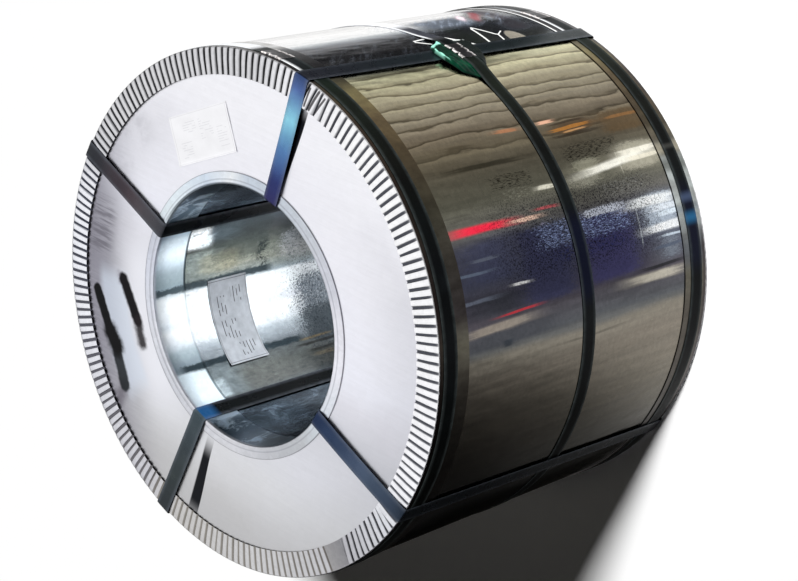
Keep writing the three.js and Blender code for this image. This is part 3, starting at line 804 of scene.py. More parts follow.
angles = full_turn(LINER_GRID[0])
heights = np.linspace(WRAP_FOOT, WRAP_HEAD, LINER_GRID[1])[None, :]
dent = (
    0.5 + 0.5 * np.sin(angles * 5 + 1.3) * np.sin(heights * 17) * np.sin(angles * 3 + heights * 4)
)
inside = round_axis(angles, LINER_RADIUS + LINER_DENTS * dent, heights)
outside = round_axis(angles, LINER_OUTSIDE, np.array([[WRAP_HEAD, WRAP_FOOT]]))
swept("liner_sleeve", np.concatenate([inside, outside], 1), node="bore_liner",
    material=liner_finish)


# --- End discs ---
# A flat galvanised disc covers each end of the strip, from the eye to the rim. The edge rings hold
# it down. The front one is scratched, and two strokes of black marking paint were brushed on it.
# Painted reflections, shade and a shadow lie in the colour of its face.
DISC_FACE = 0.7870
DISC_BACK = 0.7858
DISC_HOLE = 0.2540
DISC_RIM = 0.5040
DISC_GRID = (288, 30)
DISC_DISH = 0.00025
COIL_TOP = 0.7930
COIL_MIDDLE = COIL_TOP / 2
UPPER_RIGHT = 78.3

disc_finish, tree, shader = new_material("disc_finish", 0.36)
place = object_place(tree)
distance, turned_by, height = from_axis(tree)
clouds = noise(place, 3.5, 4, 0.55)
x, y, _ = add_node(tree, "SeparateXYZ", Vector=place).outputs
# a painted gradient of reflected light across the face, and painted shade towards the rim
slope = y + x * 0.12 + (clouds - 0.5) * 0.30
colour = colour_ramp(
    slope + 0.5, [(0.08, srgb(208, 208, 210)), (0.20, srgb(220, 221, 225)),
        (0.30, srgb(220, 221, 228)), (0.40, srgb(212, 213, 220)), (0.48, srgb(224, 224, 232)),
        (0.56, srgb(238, 239, 248)), (0.74, srgb(240, 240, 247)), (0.88, srgb(245, 245, 250))]
)
rim_shade = smooth_step(distance, 0.30, 0.46) * smooth_step(slope, 0.34, 0.20)
colour = tinted(colour, (0.84, 0.84, 0.84), rim_shade)
# greyer and more scratched towards the left
greyer_left = smooth_step(x + y * 0.25, -0.26, -0.46)
brushed = add_node(tree, "Mapping", {"vector_type": "POINT"}, Vector=place, Rotation=(0, 0, 0.9),
    Scale=(6, 90, 6)).outputs[0]
scratches = noise(brushed, 1.6, 4, 0.7)
colour = mixed(greyer_left * 0.85, colour, srgb(142, 140, 152))
colour = tinted(colour, colour_ramp(scratches,
        [(0.35, (0.7, 0.7, 0.72)), (0.65, (1.12, 1.12, 1.12))]), greyer_left * 0.5 + 0.12)
coat = use_group(tree, spangle, Place=place, Size=90.0, Contrast=0.02, Specks=0.26)
colour = in_zinc(colour, coat)
# a painted bright halo near the eye, lighter, darker and greyer patches, and the painted shadow
# beside the upper right strap, which stands off the disc
turned_on = calculate("WRAP", turned_by, 1.0, 0.0)
bright_halo = smooth_step(distance, 0.40, 0.29) * between_angles(turned_on, 170, 236, 14)
colour = mixed(bright_halo * 0.85, colour, srgb(240, 241, 248))
between_strokes = between(distance, 0.335, 0.415, 0.012) * between_angles(turned_on, 187, 224, 4)
colour = mixed(between_strokes * 0.6, colour, srgb(216, 226, 240))
dark_patch = between(distance, 0.385, 0.455, 0.02) * between_angles(turned_on, 166, 184, 5)
colour = mixed(dark_patch * 0.7 * smooth_step(scratches, 0.40, 0.62), colour, srgb(96, 94, 104))
greyed = between(distance, 0.395, 0.46, 0.025) * between_angles(turned_by, 138, 156, 7)
colour = mixed(greyed * 0.6 * smooth_step(noise(place, 16.0, 4, 0.6), 0.38, 0.62),
    colour, srgb(178, 178, 186))
from_strap = calculate("SINE", UPPER_RIGHT / 180 * np.pi - turned_by * (2 * np.pi)) * distance
gap = smooth_step(distance, 0.30, 0.44) * 0.0070 + 0.0200
strap_shadow = smooth_step(from_strap - gap, 0.0008, -0.0008) * between(from_strap, 0.0, 0.05, 0.002)
strap_shadow = strap_shadow * (between(distance, 0.30, 0.458, 0.03) * calculate("GREATER_THAN", height, 0.5))
colour = mixed(strap_shadow, colour, srgb(16, 18, 24))


def brushed_stroke(colour, start, end, half_width, half_soft, tint, amount=1.0):
    """A brush stroke between two places on the disc, its edge frayed by the scratches."""
    beside = beside_line(place, (*start, 0), (*end, 0), flat=True)
    beside = beside + (noise(place, 70.0, 3) - 0.5) * (half_soft * 1.6)
    return mixed(smooth_step(beside, half_width + half_soft, half_width - half_soft)
        * amount, colour, srgb(*tint))


on_front = calculate("GREATER_THAN", height, 0.5)
bare = colour
colour = marked(colour, [
    (brushed_stroke, (-0.314, -0.272), (-0.324, -0.306), 0.014, 0.014, (110, 106, 116), 0.8),
    (brushed_stroke, (-0.350, -0.194), (-0.312, -0.268), 0.0150, 0.004, (34, 38, 42), 0.97),
    (brushed_stroke, (-0.417, -0.098), (-0.360, -0.186), 0.0130, 0.003, (10, 12, 14)),
    (brushed_stroke, (-0.368, -0.172), (-0.345, -0.198), 0.021, 0.010, (12, 12, 14)),
    (brushed_stroke, (-0.352, -0.046), (-0.346, -0.052), 0.006, 0.012, (120, 112, 126), 0.8),
    (brushed_stroke, (-0.341, -0.048), (-0.290, -0.118), 0.0135, 0.004, (18, 16, 20)),
    (brushed_stroke, (-0.288, -0.120), (-0.270, -0.160), 0.0125, 0.008, (34, 28, 32), 0.95),
])
colour = mixed(on_front, bare, colour)
tree.links.new(colour, shader.inputs["Base Color"])
rough = add_node(tree, "MapRange", Value=scratches, From_Min=0.3, From_Max=0.7, To_Min=0.30,
    To_Max=0.44).outputs[0]
tree.links.new(rough, shader.inputs["Roughness"])
tree.links.new(bump(noise(place, 5.0, 2), 0.002, 0.35), shader.inputs["Normal"])

angles = full_turn(DISC_GRID[0])
radii = np.linspace(DISC_HOLE, DISC_RIM, DISC_GRID[1])[None, :]
dish = 0.5 + 0.5 * np.sin(angles * 3 + 0.7) * np.sin(radii * 22) * np.cos(angles * 2 + radii * 9)


def at_its_end(points, end):
    """The points of a piece built for the front end, turned over where it belongs to the back."""
    if end == "back":
        points[..., 2] = COIL_TOP - points[..., 2]
    return points


for end in ("front", "back"):
    face = round_axis(angles, radii, DISC_FACE - DISC_DISH * dish)
    under = round_axis(angles, np.array([[DISC_RIM, DISC_HOLE]]), DISC_BACK)
    disc = np.concatenate([face, np.broadcast_to(under, (DISC_GRID[0], 2, 3))], 1)
    swept(f"disc_plate_{end}", at_its_end(disc, end), node=f"end_disc_{end}", material=disc_finish)


# --- Outer edge rings ---
# A ring of galvanised sheet bent over each rim: a plain flange over the wrap, a round corner, and a
# flange over the disc, where a press gathers the surplus metal into 188 flutes, open at the inside.
FLUTES = 188
RING_OUTSIDE = 0.5070
RING_INSIDE = 0.5058
RING_SHEET = 0.0012
RING_EDGE = 0.4560
RING_FLOOR = 0.7885
RING_CORNER = 0.0026
FLUTE_HEIGHT = 0.0030
FLANGE_END = {"front": 0.7105, "back": 0.7185}
# one flute: a flat crest, a steep wall, a narrow floor and the next wall
FLUTE_TURN = np.array([0.0, 0.03, 0.31, 0.59, 0.62, 0.655, 0.69, 0.72, 0.81, 0.90, 0.93, 0.965])
FLUTE_RISE = np.array([0.93, 0.99, 1.0, 0.99, 0.93, 0.5, 0.07, 0.0, 0.0, 0.0, 0.07, 0.5])

ring_finish, tree, shader = new_material("ring_finish", 0.3)
place = object_place(tree)
distance, turned_by, height = from_axis(tree)
factor = turned_by + 0.5
# painted light on the crests and painted shade in the flute valleys, each by angle round the coil;
# the shade is widest over the top
crest_light_tones = [
    (-180, (244, 246, 252)), (-158, (240, 241, 248)), (-140, (220, 221, 228)),
    (-116, (204, 204, 210)), (-104, (200, 198, 197)), (-76, (206, 206, 208)),
    (-54, (198, 198, 202)), (-44, (188, 188, 194)), (-30, (220, 222, 228)), (-18, (250, 250, 254)),
    (62, (254, 254, 255)), (72, (244, 244, 248)), (82, (246, 246, 250)), (115, (248, 248, 252)),
    (128, (250, 250, 253)), (145, (250, 250, 253)), (156, (244, 245, 250)), (166, (244, 245, 251)),
    (180, (244, 246, 252))
]
groove_shade_tones = [
    (-180, (52, 56, 70)), (-150, (96, 96, 106)), (-116, (110, 108, 110)), (-112, (134, 130, 124)),
    (-76, (136, 132, 126)), (-52, (110, 106, 102)), (-45, (24, 24, 28)), (-30, (30, 32, 38)),
    (-24, (74, 76, 84)), (60, (78, 80, 88)), (76, (40, 42, 48)), (84, (16, 17, 20)),
    (115, (16, 17, 20)), (120, (24, 25, 30)), (155, (26, 28, 34)),
    (165, (52, 56, 70)), (180, (52, 56, 70))
]
crest_colour = tones_round(factor, crest_light_tones)
groove_shade = tones_round(factor, groove_shade_tones)
over_top = between_angles(turned_by, 84, 166, 8)
valley_shade = calculate("POWER", mark(tree, "valley_shade"), 0.6 - over_top * 0.39)
colour = mixed(valley_shade, crest_colour, groove_shade)
# painted shade along kinked flutes beside the upper right strap: an angle and a radius at both
# ends, and half the width
KINKS = [((76.0, 0.498), (76.2, 0.462), 0.0020), ((73.6, 0.503), (74.6, 0.462), 0.0026),
    ((71.6, 0.500), (72.8, 0.462), 0.0021)]
for start, end, half in KINKS:
    ends = [(radius * np.cos(np.radians(angle)), radius * np.sin(np.radians(angle)), 0)
        for angle, radius in (start, end)]
    kinked = smooth_step(beside_line(place, *ends, flat=True), half + 0.0008, half - 0.0006)
    kinked = kinked * calculate("GREATER_THAN", height, 0.5)
    colour = mixed(kinked * 0.88, colour, srgb(36, 32, 36))
# the flange's tones round the coil, with painted reflections and a white highlight over the top
flange_tones = [
    (-180, (96, 92, 84)), (-120, (84, 78, 70)), (-60, (70, 64, 58)), (-20, (72, 66, 60)),
    (6, (80, 76, 70)), (14, (98, 96, 86)), (20, (66, 62, 64)), (40, (70, 68, 58)),
    (54, (74, 64, 47)), (64, (98, 84, 58)), (71, (134, 124, 84)), (76, (92, 88, 68)),
    (80, (26, 25, 32)), (90, (22, 21, 32)), (92.5, (52, 54, 62)), (95, (226, 228, 232)),
    (140, (150, 146, 134)), (180, (96, 92, 84))
]
flange_colour = tones_round(factor, flange_tones)
far_flange = smooth_step(height, 0.5, 0.3)


def glints(colour, where, soft, marks):
    """Marks of light across a flange or a strap: angle, half the width, tint and amount."""
    for angle, half, tint, amount in marks:
        lit = between_angles(turned_by, angle - half, angle + half, half * soft)
        colour = mixed(where * lit * amount, colour, srgb(*tint))
    return colour


flange_colour = glints(
    flange_colour, far_flange, 0.7,
    [(20.0, 4.0, (92, 98, 106), 0.8), (32.5, 8.5, (176, 184, 186), 0.95),
        (28.2, 0.8, (132, 142, 152), 0.7), (38.4, 1.2, (108, 114, 112), 0.7),
        (42.4, 1.3, (170, 166, 150), 0.9), (46.0, 1.5, (120, 114, 100), 0.6)]
)
grime = noise(unrolled(turned_by, height, 26, 10), 1.5, 4)
flange_colour = tinted(flange_colour,
    colour_ramp(grime, [(0.35, (0.55, 0.5, 0.44)), (0.65, (1.2, 1.18, 1.12))]), 0.7)
# painted shade at the outer end of each flange, less where the far flange glints
at_rim = smooth_step(calculate("ABSOLUTE", height - COIL_MIDDLE), 0.377, 0.384)
glinting = far_flange * between_angles(turned_by, 22, 56, 3)
at_rim = at_rim * (0.8 - glinting * 0.7)
flange_colour = mixed(at_rim, flange_colour, srgb(40, 31, 30))
# a painted highlight along the back flange's edge, not metallic so that it shows white
lit_edge = between(height, 0.0700, 0.0765, 0.0006) * between_angles(turned_by, 78, 108, 1.5)
flange_colour = mixed(lit_edge, flange_colour, srgb(252, 252, 252))
colour = mixed(mark(tree, "flange"), colour, flange_colour)
tree.links.new(1.0 - lit_edge, shader.inputs["Metallic"])
coat = use_group(tree, spangle, Place=place, Size=160.0, Contrast=0.10, Specks=0.34)
colour = in_zinc(colour, coat)
# painted shade on the underside of the ring, seen in the open ends of the flutes
colour = mixed(mark(tree, "shaded_underside") * 0.97, colour, srgb(22, 23, 26))
tree.links.new(colour, shader.inputs["Base Color"])
tree.links.new(bump(noise(place, 60.0, 3), 0.0006, 0.4), shader.inputs["Normal"])


def flute_depth(angle):
    """How far the flutes stand at an angle: shallow low on the right, flat at the ring's joint."""
    return np.interp(angle, [-180, -116, -110, -78, -74, -54, -52, -47, -45.5, 180],
        [1, 1, 0.55, 0.55, 0.3, 0.3, 0.0, 0.0, 1, 1])


def flute_slant(angle):
    """How far the flutes lean at an angle, in flutes."""
    return np.interp(angle, [-180, -47, -45, -31, -28, 71, 73, 77, 78, 180],
        [0, 0, 0.9, 0.9, 0, 0, 0.45, 0.45, 0, 0])


def outer_ring(end):
    """One fluted ring as a single skin: flange, corner, face with flutes, and the inside of all."""
    rng = np.random.default_rng(11 if end == "front" else 12)
    first = rng.uniform(0, 1)
    tall = 1 - 0.14 * rng.random(FLUTES)
    shift = rng.normal(0, 0.02, FLUTES)
    lean = rng.normal(0, 0.03, FLUTES)
    samples = len(FLUTE_TURN)
    flute = np.repeat(np.arange(FLUTES), samples)
    phase = np.tile(FLUTE_TURN, FLUTES)
    rise = np.tile(FLUTE_RISE, FLUTES)
    middle = ((flute + 0.31 + first) / FLUTES * 360 + 180) % 360 - 180
    rise = rise * tall[flute] * flute_depth(middle)
    # rows over the face, from the corner to the open inside edge
    reach = np.array([0.0, 0.06, 0.16, 0.4, 0.7, 1.0])
    face_radius = (RING_OUTSIDE - RING_CORNER) + (RING_EDGE - RING_OUTSIDE + RING_CORNER) * reach
    growth = FLUTE_HEIGHT * (0.30 + 0.70 * np.clip(reach / 0.4, 0, 1) ** 0.6)
    slant = (flute_slant(middle) + lean[flute])[:, None] * reach[None, :]
    turn = ((flute + phase + shift[flute] + first)[:, None] / FLUTES * 2 * np.pi
        + slant * 2 * np.pi / FLUTES)
    face = round_axis(turn, face_radius[None, :], RING_FLOOR + rise[:, None] * growth[None, :])
    bend = np.radians([72, 48, 24, 0])
    straight = (flute + phase + shift[flute] + first)[:, None] / FLUTES * 2 * np.pi
    corner_radius = RING_OUTSIDE - RING_CORNER + RING_CORNER * np.cos(bend)
    corner_height = (RING_FLOOR - RING_CORNER + RING_CORNER * np.sin(bend) + rise[:, None]
        * growth[0] * np.sin(bend) ** 2)
    corner = round_axis(straight, corner_radius[None, :], corner_height)
    flange = round_axis(straight, RING_OUTSIDE, np.array([[RING_FLOOR - 0.02, FLANGE_END[end]]]))
    under_flange = round_axis(straight, RING_INSIDE,
        np.array([[FLANGE_END[end], RING_FLOOR - RING_CORNER]]))
    under_face = face[:, ::-1] - np.array([0, 0, RING_SHEET])
    skin = np.concatenate(
        [flange[:, ::-1], corner[:, ::-1], face, under_face, under_flange[:, ::-1]], 1
    )
    counts = (flange.shape[1], corner.shape[1], face.shape[1],
        under_face.shape[1] + under_flange.shape[1])
    valley = 1 - rise / np.maximum(tall[flute] * flute_depth(middle), 1e-3)
    valley = np.where(flute_depth(middle) < 0.05, 0.35, valley)[:, None]
    depth = np.clip(0.85 + reach * 2, 0, 1)[None, :]
    valley_shade = np.concatenate(
        [np.zeros((len(flute), counts[0])), valley * np.array([[0, 0.1, 0.45, 0.75]]),
            valley * depth, np.ones((len(flute), counts[3]))], 1
    )
    on_flange = np.concatenate([np.ones((len(flute), counts[0] + 1)),
            np.zeros((len(flute), valley_shade.shape[1] - counts[0] - 1))], 1)
    shaded_underside = np.concatenate(
        [np.zeros((len(flute), sum(counts[:3]))), np.ones((len(flute), counts[3]))], 1
    )
    swept(f"fluted_ring_{end}", at_its_end(skin, end), marks={"valley_shade": valley_shade, "flange": on_flange,
            "shaded_underside": shaded_underside}, node=f"outer_edge_ring_{end}", material=ring_finish, sharp=50)


for end in ("front", "back"):
    outer_ring(end)


# --- Inner edge rings ---
# A narrower galvanised ring at each end of the eye: a flange over the disc that rises to a rolled
# bead and turns down into the bore, where its deep flange grips the liner.
ring_lip, tree, shader = new_material("inner_ring_finish", 0.28)
place = object_place(tree)
distance, turned_by, height = from_axis(tree)
edge_shade = add_node(tree, "MapRange", Value=distance, From_Min=0.2745, From_Max=0.2764).outputs[0]
# the lip's tones round the axis: painted highlights on the bead and painted shade
lip_tones = [
    (-180, (212, 216, 228)), (-150, (222, 224, 232)), (-130, (206, 208, 216)),
    (-90, (214, 215, 221)), (-60, (188, 190, 196)), (-42, (188, 191, 196)), (-28, (208, 216, 224)),
    (0, (234, 234, 242)), (16, (226, 226, 234)), (32, (206, 208, 218)), (52, (200, 204, 212)),
    (75, (196, 204, 214)), (92, (198, 208, 220)), (104, (236, 240, 244)), (118, (208, 220, 234)),
    (138, (228, 238, 246)), (152, (222, 232, 238)), (163, (200, 204, 216)), (180, (212, 216, 228))
]
lip_turn = turned_by + 0.5 + (noise(place, 16.0, 4) - 0.5) * 0.05
tone = tones_round(lip_turn, lip_tones)
# a painted dark reflection in the bead's inner corner
corner = smooth_step(distance, 0.2572, 0.2545) * between_angles(turned_by, 66, 150, 12)
tone = mixed(corner * 0.8, tone, srgb(48, 60, 72))
# painted shade in a crease of the flange
crease = calculate("ABSOLUTE", distance - 0.2615)
tone = mixed(smooth_step(crease, 0.0022, 0.0004) * 0.35, tone, srgb(120, 122, 134))
in_bore = add_node(tree, "MapRange", Value=height, From_Min=0.786, From_Max=0.780).outputs[0]
eye_angle, eye_grain = in_the_eye(turned_by, height)
# painted reflections in the mouth, as in the eye
mouth_bands = [
    (0, (212, 216, 220)), (70, (212, 216, 220)), (100, (76, 88, 100)), (128, (66, 84, 102)),
    (140, (92, 112, 130)), (147, (128, 150, 168)), (153, (106, 124, 140)), (161, (176, 198, 216)),
    (166, (226, 240, 248)), (174, (236, 247, 252)), (178, (204, 219, 227)), (182, (164, 179, 186)),
    (188, (152, 168, 174)), (192, (156, 176, 186)), (194.5, (238, 242, 242)),
    (204, (226, 231, 234)), (207, (208, 216, 221)), (210, (228, 231, 232)), (216, (206, 213, 218)),
    (219.5, (164, 178, 184)), (226, (132, 146, 154)), (229, (126, 140, 148)),
    (230.6, (222, 236, 242)), (244, (230, 243, 248)), (251, (190, 210, 224)),
    (256, (150, 168, 184)), (261, (80, 96, 112)), (270, (84, 100, 116)), (300, (170, 178, 186)),
    (340, (212, 216, 220))
]
mouth = tones_round(eye_angle / 360, mouth_bands, 0)
creases_and_glints = noise(unrolled(turned_by, height, 16, 14.0), 1.0, 5, 0.65, 1.0)
mouth = mixed(between(eye_angle, 134, 153, 3) * smooth_step(creases_and_glints, 0.46, 0.62),
    mouth, srgb(216, 232, 244))
mouth = mixed(between(eye_angle, 256, 285, 2) * smooth_step(creases_and_glints, 0.48, 0.62),
    mouth, srgb(190, 208, 224))
mouth = band_edge_line(mouth, 191.4, 1.2, 0.70, 0.79, 0.85)
mouth = band_edge_line(mouth, 227.8, 1.3, 0.70, 0.765, 0.95)
# a painted shadow line at the step below the flange
step_shadow = tinted(
    mouth, colour_ramp(eye_angle / 360,
        [(0.43, srgb(255, 255, 255)), (0.45, srgb(110, 118, 124)), (0.525, srgb(104, 112, 118)),
            (0.54, srgb(230, 234, 236)), (0.62, srgb(214, 218, 220)), (0.635, srgb(136, 144, 148)),
            (0.683, srgb(140, 148, 152)), (0.70, srgb(245, 245, 245))])
)
mouth = mixed(smooth_step(height, 0.7125, 0.7105), mouth, step_shadow)
tone = mixed(in_bore, tone, mouth)
# painted shade along the flange's outer edge
tone = mixed(edge_shade * 0.75, tone, srgb(96, 94, 104))
coat = use_group(tree, spangle, Place=place, Size=130.0, Contrast=0.10, Specks=0.32)
tone = in_zinc(tone, coat)
tree.links.new(tone, shader.inputs["Base Color"])
tree.links.new(bump(noise(place, 20.0, 2), 0.001, 0.4), shader.inputs["Normal"])

LIP_OVER = [
    (0.2514, 0.7085), (0.2514, 0.7480), (0.2514, 0.7868), (0.2519, 0.7884), (0.2530, 0.7895),
    (0.2548, 0.7901), (0.2568, 0.7900), (0.2590, 0.7894), (0.2625, 0.7888), (0.2690, 0.7885),
    (0.2758, 0.7885), (0.2764, 0.7882)
]
LIP_UNDER = [(0.2764, 0.7874), (0.2690, 0.7873), (0.2620, 0.7876), (0.2585, 0.7882),
    (0.2560, 0.7886), (0.2540, 0.7880), (0.2526, 0.7862), (0.2526, 0.7480), (0.2526, 0.7085)]
LIP_WAVE = 0.00018
profile = np.array(LIP_OVER + LIP_UNDER)
angles = full_turn(256)
for end in ("front", "back"):
    wave = (LIP_WAVE * np.sin(angles * 11 + 0.4) * np.sin(angles * 4)
        * np.clip((profile[:, 0] - 0.258) / 0.01, 0, 1)[None, :])
    lip = round_axis(angles, profile[:, 0][None, :], profile[:, 1][None, :] + np.abs(wave))
    swept(f"inner_ring_{end}", at_its_end(lip, end),
        node=f"inner_edge_ring_{end}", material=ring_lip)


# --- Hoop straps ---
# Three bands of painted steel strap pulled tight round the outside, 35 mm wide, the front and back
# ones on the flanges of the rings. Each is closed by a crimped seal on the upper side.
STRAP_WIDTH = 0.035
STRAP_THICKNESS = 0.0012
STRAP_ROUND = 0.0004
STRAP_EDGE = 0.0165


def strap_section():
    """The closed outline of a strap's section, across and out from its inside face."""
    side = STRAP_WIDTH / 2
    flat = side - STRAP_ROUND
    top = STRAP_THICKNESS
    across = [-flat, -side / 2, 0, side / 2, flat, side, side, flat, 0, -flat, -side, -side]
    out = [top, top, top, top, top, top - STRAP_ROUND, STRAP_ROUND, 0, 0, 0,
        STRAP_ROUND, top - STRAP_ROUND]
    return np.array(across), np.array(out)


hoop_paint, tree, shader = new_material("hoop_paint", 0.3, 0.0)
place = object_place(tree)
shader.inputs["Specular IOR Level"].default_value = 0.032
_, turned_by, height = from_axis(tree)
hoop_tones = [
    (-180, (9, 12, 14)), (-60, (8, 8, 7)), (-20, (8, 9, 8)), (2, (6, 9, 10)), (12, (6, 9, 12)),
    (20, (6, 8, 10)), (26, (7, 10, 12)), (31, (7, 9, 12)), (37, (9, 13, 14)), (46, (7, 9, 8)),
    (54, (7, 9, 5)), (60, (7, 13, 8)), (68, (11, 17, 9)), (75, (13, 21, 15)),
    (84, (10, 14, 17)), (180, (9, 12, 14))
]
tone = tones_round(turned_by + 0.5, hoop_tones)
tone = tinted(tone, colour_ramp(noise(place, 14.0, 4),
        [(0.3, (0.5, 0.5, 0.5)), (0.5, (0.9, 0.9, 0.9)), (0.75, (1.9, 1.9, 1.9))]))
far_hoop = smooth_step(height, 0.10, 0.06)
# a painted blue sheen on the middle and back hoops
bluish = smooth_step(height, 0.50, 0.46) * between_angles(turned_by, 15, 33, 3)
tone = mixed(bluish * 0.7, tone, srgb(9, 14, 36))
tone = glints(tone, far_hoop, 1.0, [(26.0, 1.1, (44, 118, 168), 0.55),
        (30.6, 0.9, (82, 98, 130), 0.5), (42.6, 0.5, (84, 84, 80), 0.4)])
rubbed = mark(tree, "edge") * noise(place, 60.0, 3)
tone = mixed(held(rubbed, 0.55), tone, srgb(84, 92, 92))
# painted reflections: a dark tone on the middle hoop beyond its seal, and white highlights where
# the hoops shine
tone = mixed(mark(tree, "worn") * 0.85, tone, srgb(36, 40, 54))
tone = mixed(mark(tree, "bare"), tone, srgb(250, 252, 255))
tree.links.new(tone, shader.inputs["Base Color"])
tree.links.new(
    add_node(tree, "MapRange", Value=noise(place, 40.0, 3), To_Min=0.22, To_Max=0.45).outputs[0],
    shader.inputs["Roughness"]
)
tree.links.new(bump(noise(place, 90.0, 3), 0.0004, 0.3), shader.inputs["Normal"])

HOOP_HEIGHTS = {"front": 0.7595, "back": 0.0385}
HOOP_INSIDE = 0.5073
across, out = strap_section()
edge_mark = (np.abs(across) > STRAP_EDGE).astype(float)
angles = full_turn(288)
# where the front and back hoops are painted white as highlights, in degrees
GLARE_TOPS = {"front": (95, 150), "back": (150, 150)}
GLARE_EDGES = {"front": (80, 92), "back": (77, 106)}
for name, height in HOOP_HEIGHTS.items():
    hoop = round_axis(angles, HOOP_INSIDE + out[None, :], height + across[None, :])
    glare_top, glare_edge = (
        np.clip((np.degrees(angles) - start) / 2, 0, 1)
        * np.clip((end - np.degrees(angles)) / (end - start + 1) * 2, 0, 1)
        for start, end in (GLARE_TOPS[name], GLARE_EDGES[name])
    )
    bare = np.maximum(glare_top * 0.8,
        glare_edge * np.clip(across / (STRAP_WIDTH / 2) * 4 - 3, 0, 1)[None, :])
    swept(f"hoop_band_{name}", hoop, marks={"edge": np.broadcast_to(edge_mark, hoop.shape[:2]),
            "bare": bare}, node=f"hoop_strap_{name}", material=hoop_paint)

MIDDLE_HOOP = {"inside": 0.5058, "height": 0.3711, "slope": 0.0365,
    "crossing": UPPER_RIGHT, "lift": 0.0092}


def crossing_lift(angle):
    """How far the middle hoop is raised where it crosses the eye strap."""
    away = (angle - MIDDLE_HOOP["crossing"] + 180) % 360 - 180
    flat = np.where(away < 0, 6.0, 4.5)
    return MIDDLE_HOOP["lift"] * (1 - np.clip((np.abs(away) - flat) / 7.5, 0, 1)) ** 1.6


angle = np.degrees(angles)
radius = MIDDLE_HOOP["inside"] + crossing_lift(angle) + out[None, :]
leaning = MIDDLE_HOOP["height"] + MIDDLE_HOOP["slope"] * radius * np.sin(angles) + across[None, :]
hoop = round_axis(angles, radius, leaning)
# where the middle hoop is painted dark beyond its seal and white where it shines
beyond_seal = np.clip((angle - 84) / 2, 0, 1) * np.clip((120 - angle) / 14, 0, 1)
worn = beyond_seal * np.ones_like(across)[None, :]
bare = (beyond_seal * np.maximum(np.clip(across / (STRAP_WIDTH / 2) * 2 - 1, 0, 1)[None, :],
        np.clip((angle - 94) / 4, 0, 1)))
swept(
    "hoop_band_middle", hoop,
    marks={"edge": np.broadcast_to(edge_mark, hoop.shape[:2]), "worn": worn, "bare": bare},
    node="hoop_strap_middle", material=hoop_paint
)


# --- Eye straps ---
# Four loops of blued steel strap pass through the eye, over both ends and along the outside, over
# the front and back hoops. Their blued steel runs from brown-grey to blue along and between them,
# under painted reflections, a painted cyan highlight and painted shade in the eye.

# the tones of each, blued steel with painted reflections and shade: one in the eye, five outward
# over an end, and three down the outside
EYE_STRAPS = {
    "upper_right": {"angle": UPPER_RIGHT, "skew": 0.7,
        "tones": [(5, 10, 16), (50, 48, 92), (52, 64, 118), (90, 132, 184), (132, 196, 218),
            (84, 110, 168), (30, 33, 46), (36, 50, 54), (22, 32, 35)]},
    "upper_left": {"angle": 158.4, "skew": 0.0, "tones": [(5, 10, 16), (64, 66, 72), (74, 72, 78),
            (76, 66, 72), (62, 56, 62), (48, 50, 56), (34, 38, 42), (32, 36, 40), (30, 34, 38)]},
    "lower_left": {"angle": -108.7, "skew": 0.0, "tones": [(4, 8, 10), (62, 74, 80), (64, 74, 80),
            (58, 66, 70), (52, 60, 62), (48, 54, 58), (34, 40, 44), (32, 38, 42), (30, 34, 38)]},
    "lower_right": {"angle": -26.6, "skew": 2.2, "tones": [(12, 20, 30), (34, 48, 78), (50, 66, 94),
            (66, 80, 104), (68, 82, 102), (54, 66, 84), (26, 32, 38), (20, 26, 30), (20, 24, 28)]},
}
eye_paint, tree, shader = new_material("eye_strap_paint", 0.26, 0.75)
place = object_place(tree)
tone = add_node(tree, "Attribute", {"attribute_name": "bluing_and_sheen"}).outputs["Color"]
tone = tinted(tone,
    colour_ramp(noise(place, 18.0, 4), [(0.3, (0.6, 0.62, 0.66)), (0.7, (1.35, 1.3, 1.25))]), 0.6)
rubbed = mark(tree, "edge") * noise(place, 70.0, 3)
tone = mixed(held(rubbed, 0.6), tone, srgb(110, 116, 126))
tree.links.new(tone, shader.inputs["Base Color"])
tree.links.new(
    add_node(tree, "MapRange", Value=noise(place, 40.0, 3), To_Min=0.18, To_Max=0.40).outputs[0],
    shader.inputs["Roughness"]
)
shader.inputs["Specular IOR Level"].default_value = 0.04
from_axis_line, _, _ = from_axis(tree)
tree.links.new(smooth_step(from_axis_line, 0.2506, 0.2560) * 0.75, shader.inputs["Metallic"])
tree.links.new(bump(noise(place, 80.0, 3), 0.0004, 0.3), shader.inputs["Normal"])

STRAP_IN_BORE = 0.2497
STRAP_OUTSIDE = 0.5094
STRAP_TOP = 0.7924
STRAP_FOOT = 0.0006
STRAP_BEND = 0.0065
STRAP_STEP = 0.02


def strap_path():
    """The middle of an eye strap's section round its loop: distance from the axis, and height."""
    points = []
    for out, up, first in ((STRAP_OUTSIDE, STRAP_TOP, 0), (STRAP_IN_BORE, STRAP_TOP, 90),
            (STRAP_IN_BORE, STRAP_FOOT, 180), (STRAP_OUTSIDE, STRAP_FOOT, 270)):
        turn = np.radians(first + np.linspace(0, 90, 7))[:, None]
        centre_out = out + (-STRAP_BEND if out == STRAP_OUTSIDE else STRAP_BEND)
        centre_up = up + (-STRAP_BEND if up == STRAP_TOP else STRAP_BEND)
        arc = [centre_out + STRAP_BEND * np.cos(turn), centre_up + STRAP_BEND * np.sin(turn)]
        points.append(np.concatenate(arc, 1))
    corners = np.concatenate(points)
    full = []
    for start, end in zip(corners, np.roll(corners, -1, 0)):
        steps = max(1, int(np.hypot(*(end - start)) / STRAP_STEP))
        full += [start + (end - start) * step / steps for step in range(steps)]
    return np.array(full)


